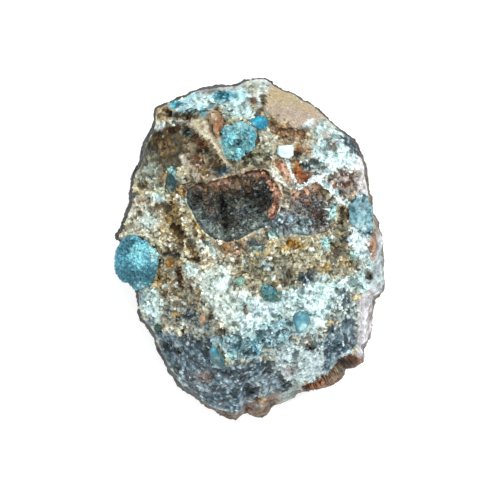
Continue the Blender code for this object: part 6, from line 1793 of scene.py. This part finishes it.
def make_floor(settings):
    """The pale floor that the stone lies on."""
    bm = bmesh.new()
    bmesh.ops.create_grid(bm, x_segments=1, y_segments=1, size=settings.floor_size / 2)
    mesh = as_mesh(bm, "floor")
    mesh.materials.append(material("Pale paper", {}, [], {
        "Base Color": (*settings.floor_colour, 1.0), "Roughness": 0.95, "Emission Strength": settings.glow,
        "Emission Color": (1.0, 1.0, 1.0, 1.0)}))
    floor = add("floor", mesh)


def make_lights(settings):
    """The soft light from all round and the two lamps."""
    world = bpy.data.worlds.new("Soft daylight")
    world.use_nodes = True
    sky = world.node_tree.nodes["Background"]
    sky.inputs["Color"].default_value = SKY_COLOUR
    sky.inputs["Strength"].default_value = settings.daylight
    bpy.context.scene.world = world
    for name, place, power in LAMPS:
        data = bpy.data.lights.new(name, "AREA")
        data.size = LAMP_SIZE
        data.energy = getattr(settings, power)
        data.color = LAMP_COLOUR
        light = add(name, data)
        light.location = place
        light.rotation_euler = Vector(place).to_track_quat("Z", "Y").to_euler()


def make_camera(settings):
    """The camera, straight above the stone."""
    data = bpy.data.cameras.new("camera")
    data.sensor_width = SENSOR
    data.lens = SENSOR * MM * settings.camera_distance / settings.view_width / MM
    data.clip_end = 20.0
    camera = add("camera", data)
    camera.location = (0.0, 0.0, settings.camera_distance + WIDEST_LEVEL * MM)
    bpy.context.scene.camera = camera


def make_stage():
    """The floor, the light and the camera."""
    settings = bpy.context.scene.specimen_stage
    make_floor(settings)
    make_lights(settings)
    make_camera(settings)
    bpy.context.scene.view_settings.view_transform = "Standard"


# ---------------------------------------------------------------- settings
class StageSettings(bpy.types.PropertyGroup):
    floor_size: FloatProperty(
        name="Floor", description="Side of the square floor", default=6.0, min=0.5, unit="LENGTH")
    floor_colour: FloatVectorProperty(
        name="Floor colour", description="Colour of the floor", subtype="COLOR", size=3,
        default=(0.93, 0.93, 0.93))
    glow: FloatProperty(
        name="Floor glow", description="How much the floor shines of itself, like a light table",
        default=0.3, min=0.0)
    daylight: FloatProperty(
        name="Daylight", description="Strength of the soft light from all round", default=1.0, min=0.0)
    key_power: FloatProperty(
        name="Key light", description="Power of the light from the upper right", default=8.0, min=0.0,
        unit="POWER")
    fill_power: FloatProperty(
        name="Fill light", description="Power of the soft light from the left", default=1.5, min=0.0,
        unit="POWER")
    camera_distance: FloatProperty(
        name="Camera distance", description="Camera above the stone's widest contour", default=1.5, min=0.2,
        unit="LENGTH")
    view_width: FloatProperty(
        name="View width", description="Width that the camera sees there", default=0.125, min=0.02,
        unit="LENGTH")


class StoneSettings(bpy.types.PropertyGroup):
    divisions: IntProperty(
        name="Divisions", description="Cuts along each edge of the ball that the stone is made from",
        default=98, min=13, max=99)
    ribs: IntProperty(name="Ribs", description="How many rusty ribs its side has", default=90, min=4, max=200)


class CrustSettings(bpy.types.PropertyGroup):
    divisions: IntProperty(
        name="Divisions", description="Cuts along each edge of the ball that the large crust is made from",
        default=60, min=6, max=90)
    ledge_heads: IntProperty(
        name="Ledge heads", description="How many rounded heads the rosy ledge has", default=190, min=8,
        max=400)


class NoduleSettings(bpy.types.PropertyGroup):
    divisions: IntProperty(
        name="Divisions", description="Cuts along each edge of the ball that the blue ball is made from",
        default=48, min=6, max=90)


class FacetSettings(bpy.types.PropertyGroup):
    bevel: FloatProperty(
        name="Bevel", description="Width of the flat-faced crystals' worn edges", default=0.00012, min=0.0,
        max=0.0005, unit="LENGTH", precision=5)


class CrumbSettings(bpy.types.PropertyGroup):
    count: IntProperty(
        name="Crumbs", description="Loose crumbs and cleavage chips on the face", default=9000, min=100,
        max=30000)
    smallest: FloatProperty(
        name="Smallest", description="Size of the smallest crumbs", default=0.00022, min=0.0001,
        unit="LENGTH", precision=5)
    largest: FloatProperty(
        name="Largest", description="Size of the largest crumbs", default=0.0007, min=0.0002, unit="LENGTH",
        precision=5)
    vug_count: IntProperty(
        name="Vug crystals", description="Small crystals on the deep hollow's crust", default=2500, min=100)
    hollow_count: IntProperty(
        name="Hollow crystals", description="Small crystals on the shallow hollow's crust", default=900,
        min=100)


# ---------------------------------------------------------------- operators
class Step:
    """An operator that calls its makers in turn."""

    def execute(self, context):
        for make in self.makers:
            make()
        return {"FINISHED"}


class SPECIMEN_OT_stage(Step, bpy.types.Operator):
    """Lays the floor and sets up the soft light and the camera"""

    bl_idname = "specimen.stage"
    bl_label = "Stage"
    makers = [make_stage]


class SPECIMEN_OT_stone(Step, bpy.types.Operator):
    """Models and paints the stone and the rusty ribs on its side"""

    bl_idname = "specimen.stone"
    bl_label = "Stone"
    makers = [make_stone, make_ribs]


class SPECIMEN_OT_crusts(Step, bpy.types.Operator):
    """Lines the two hollows with their crystal crusts and hangs the rosy ledge in the larger one"""

    bl_idname = "specimen.crusts"
    bl_label = "Crystal crusts"
    makers = [make_crusts, make_ledge]


class SPECIMEN_OT_nodules(Step, bpy.types.Operator):
    """Models the blue ball and the other rounded crystal aggregates"""

    bl_idname = "specimen.nodules"
    bl_label = "Rounded crystals"
    makers = [make_nodules]


class SPECIMEN_OT_facets(Step, bpy.types.Operator):
    """Models the flat-faced crystals"""

    bl_idname = "specimen.facets"
    bl_label = "Flat-faced crystals"
    makers = [make_facets]


class SPECIMEN_OT_crumbs(Step, bpy.types.Operator):
    """Scatters crumbs on the stone and small crystals in its hollows"""

    bl_idname = "specimen.crumbs"
    bl_label = "Crumbs and small crystals"
    makers = [make_crumbs]


STEPS = {
    "specimen_stage": (StageSettings, SPECIMEN_OT_stage),
    "specimen_stone": (StoneSettings, SPECIMEN_OT_stone),
    "specimen_crusts": (CrustSettings, SPECIMEN_OT_crusts),
    "specimen_nodules": (NoduleSettings, SPECIMEN_OT_nodules),
    "specimen_facets": (FacetSettings, SPECIMEN_OT_facets),
    "specimen_crumbs": (CrumbSettings, SPECIMEN_OT_crumbs),
}


class SPECIMEN_PT_panel(bpy.types.Panel):
    """Lists the steps that make the specimen, each above its settings"""

    bl_idname = "SPECIMEN_PT_panel"
    bl_label = "Calcite specimen"
    bl_space_type = "VIEW_3D"
    bl_region_type = "UI"
    bl_category = "Specimen"

    def draw(self, context):
        for group, (_, step) in STEPS.items():
            box = self.layout.box()
            box.operator(step.bl_idname)
            settings = getattr(context.scene, group)
            for name in settings.bl_rna.properties.keys():
                if name not in ("rna_type", "name"):
                    box.prop(settings, name)


def register():
    for group, (kind, step) in STEPS.items():
        bpy.utils.register_class(kind)
        setattr(bpy.types.Scene, group, PointerProperty(type=kind))
        bpy.utils.register_class(step)
    bpy.utils.register_class(SPECIMEN_PT_panel)


def unregister():
    bpy.utils.unregister_class(SPECIMEN_PT_panel)
    for group, (kind, step) in reversed(STEPS.items()):
        bpy.utils.unregister_class(step)
        delattr(bpy.types.Scene, group)
        bpy.utils.unregister_class(kind)


def main():
    """Runs every step."""
    register()
    for _, step in STEPS.values():
        getattr(bpy.ops.specimen, step.bl_idname.split(".")[1])()


if __name__ == "__main__":
    main()
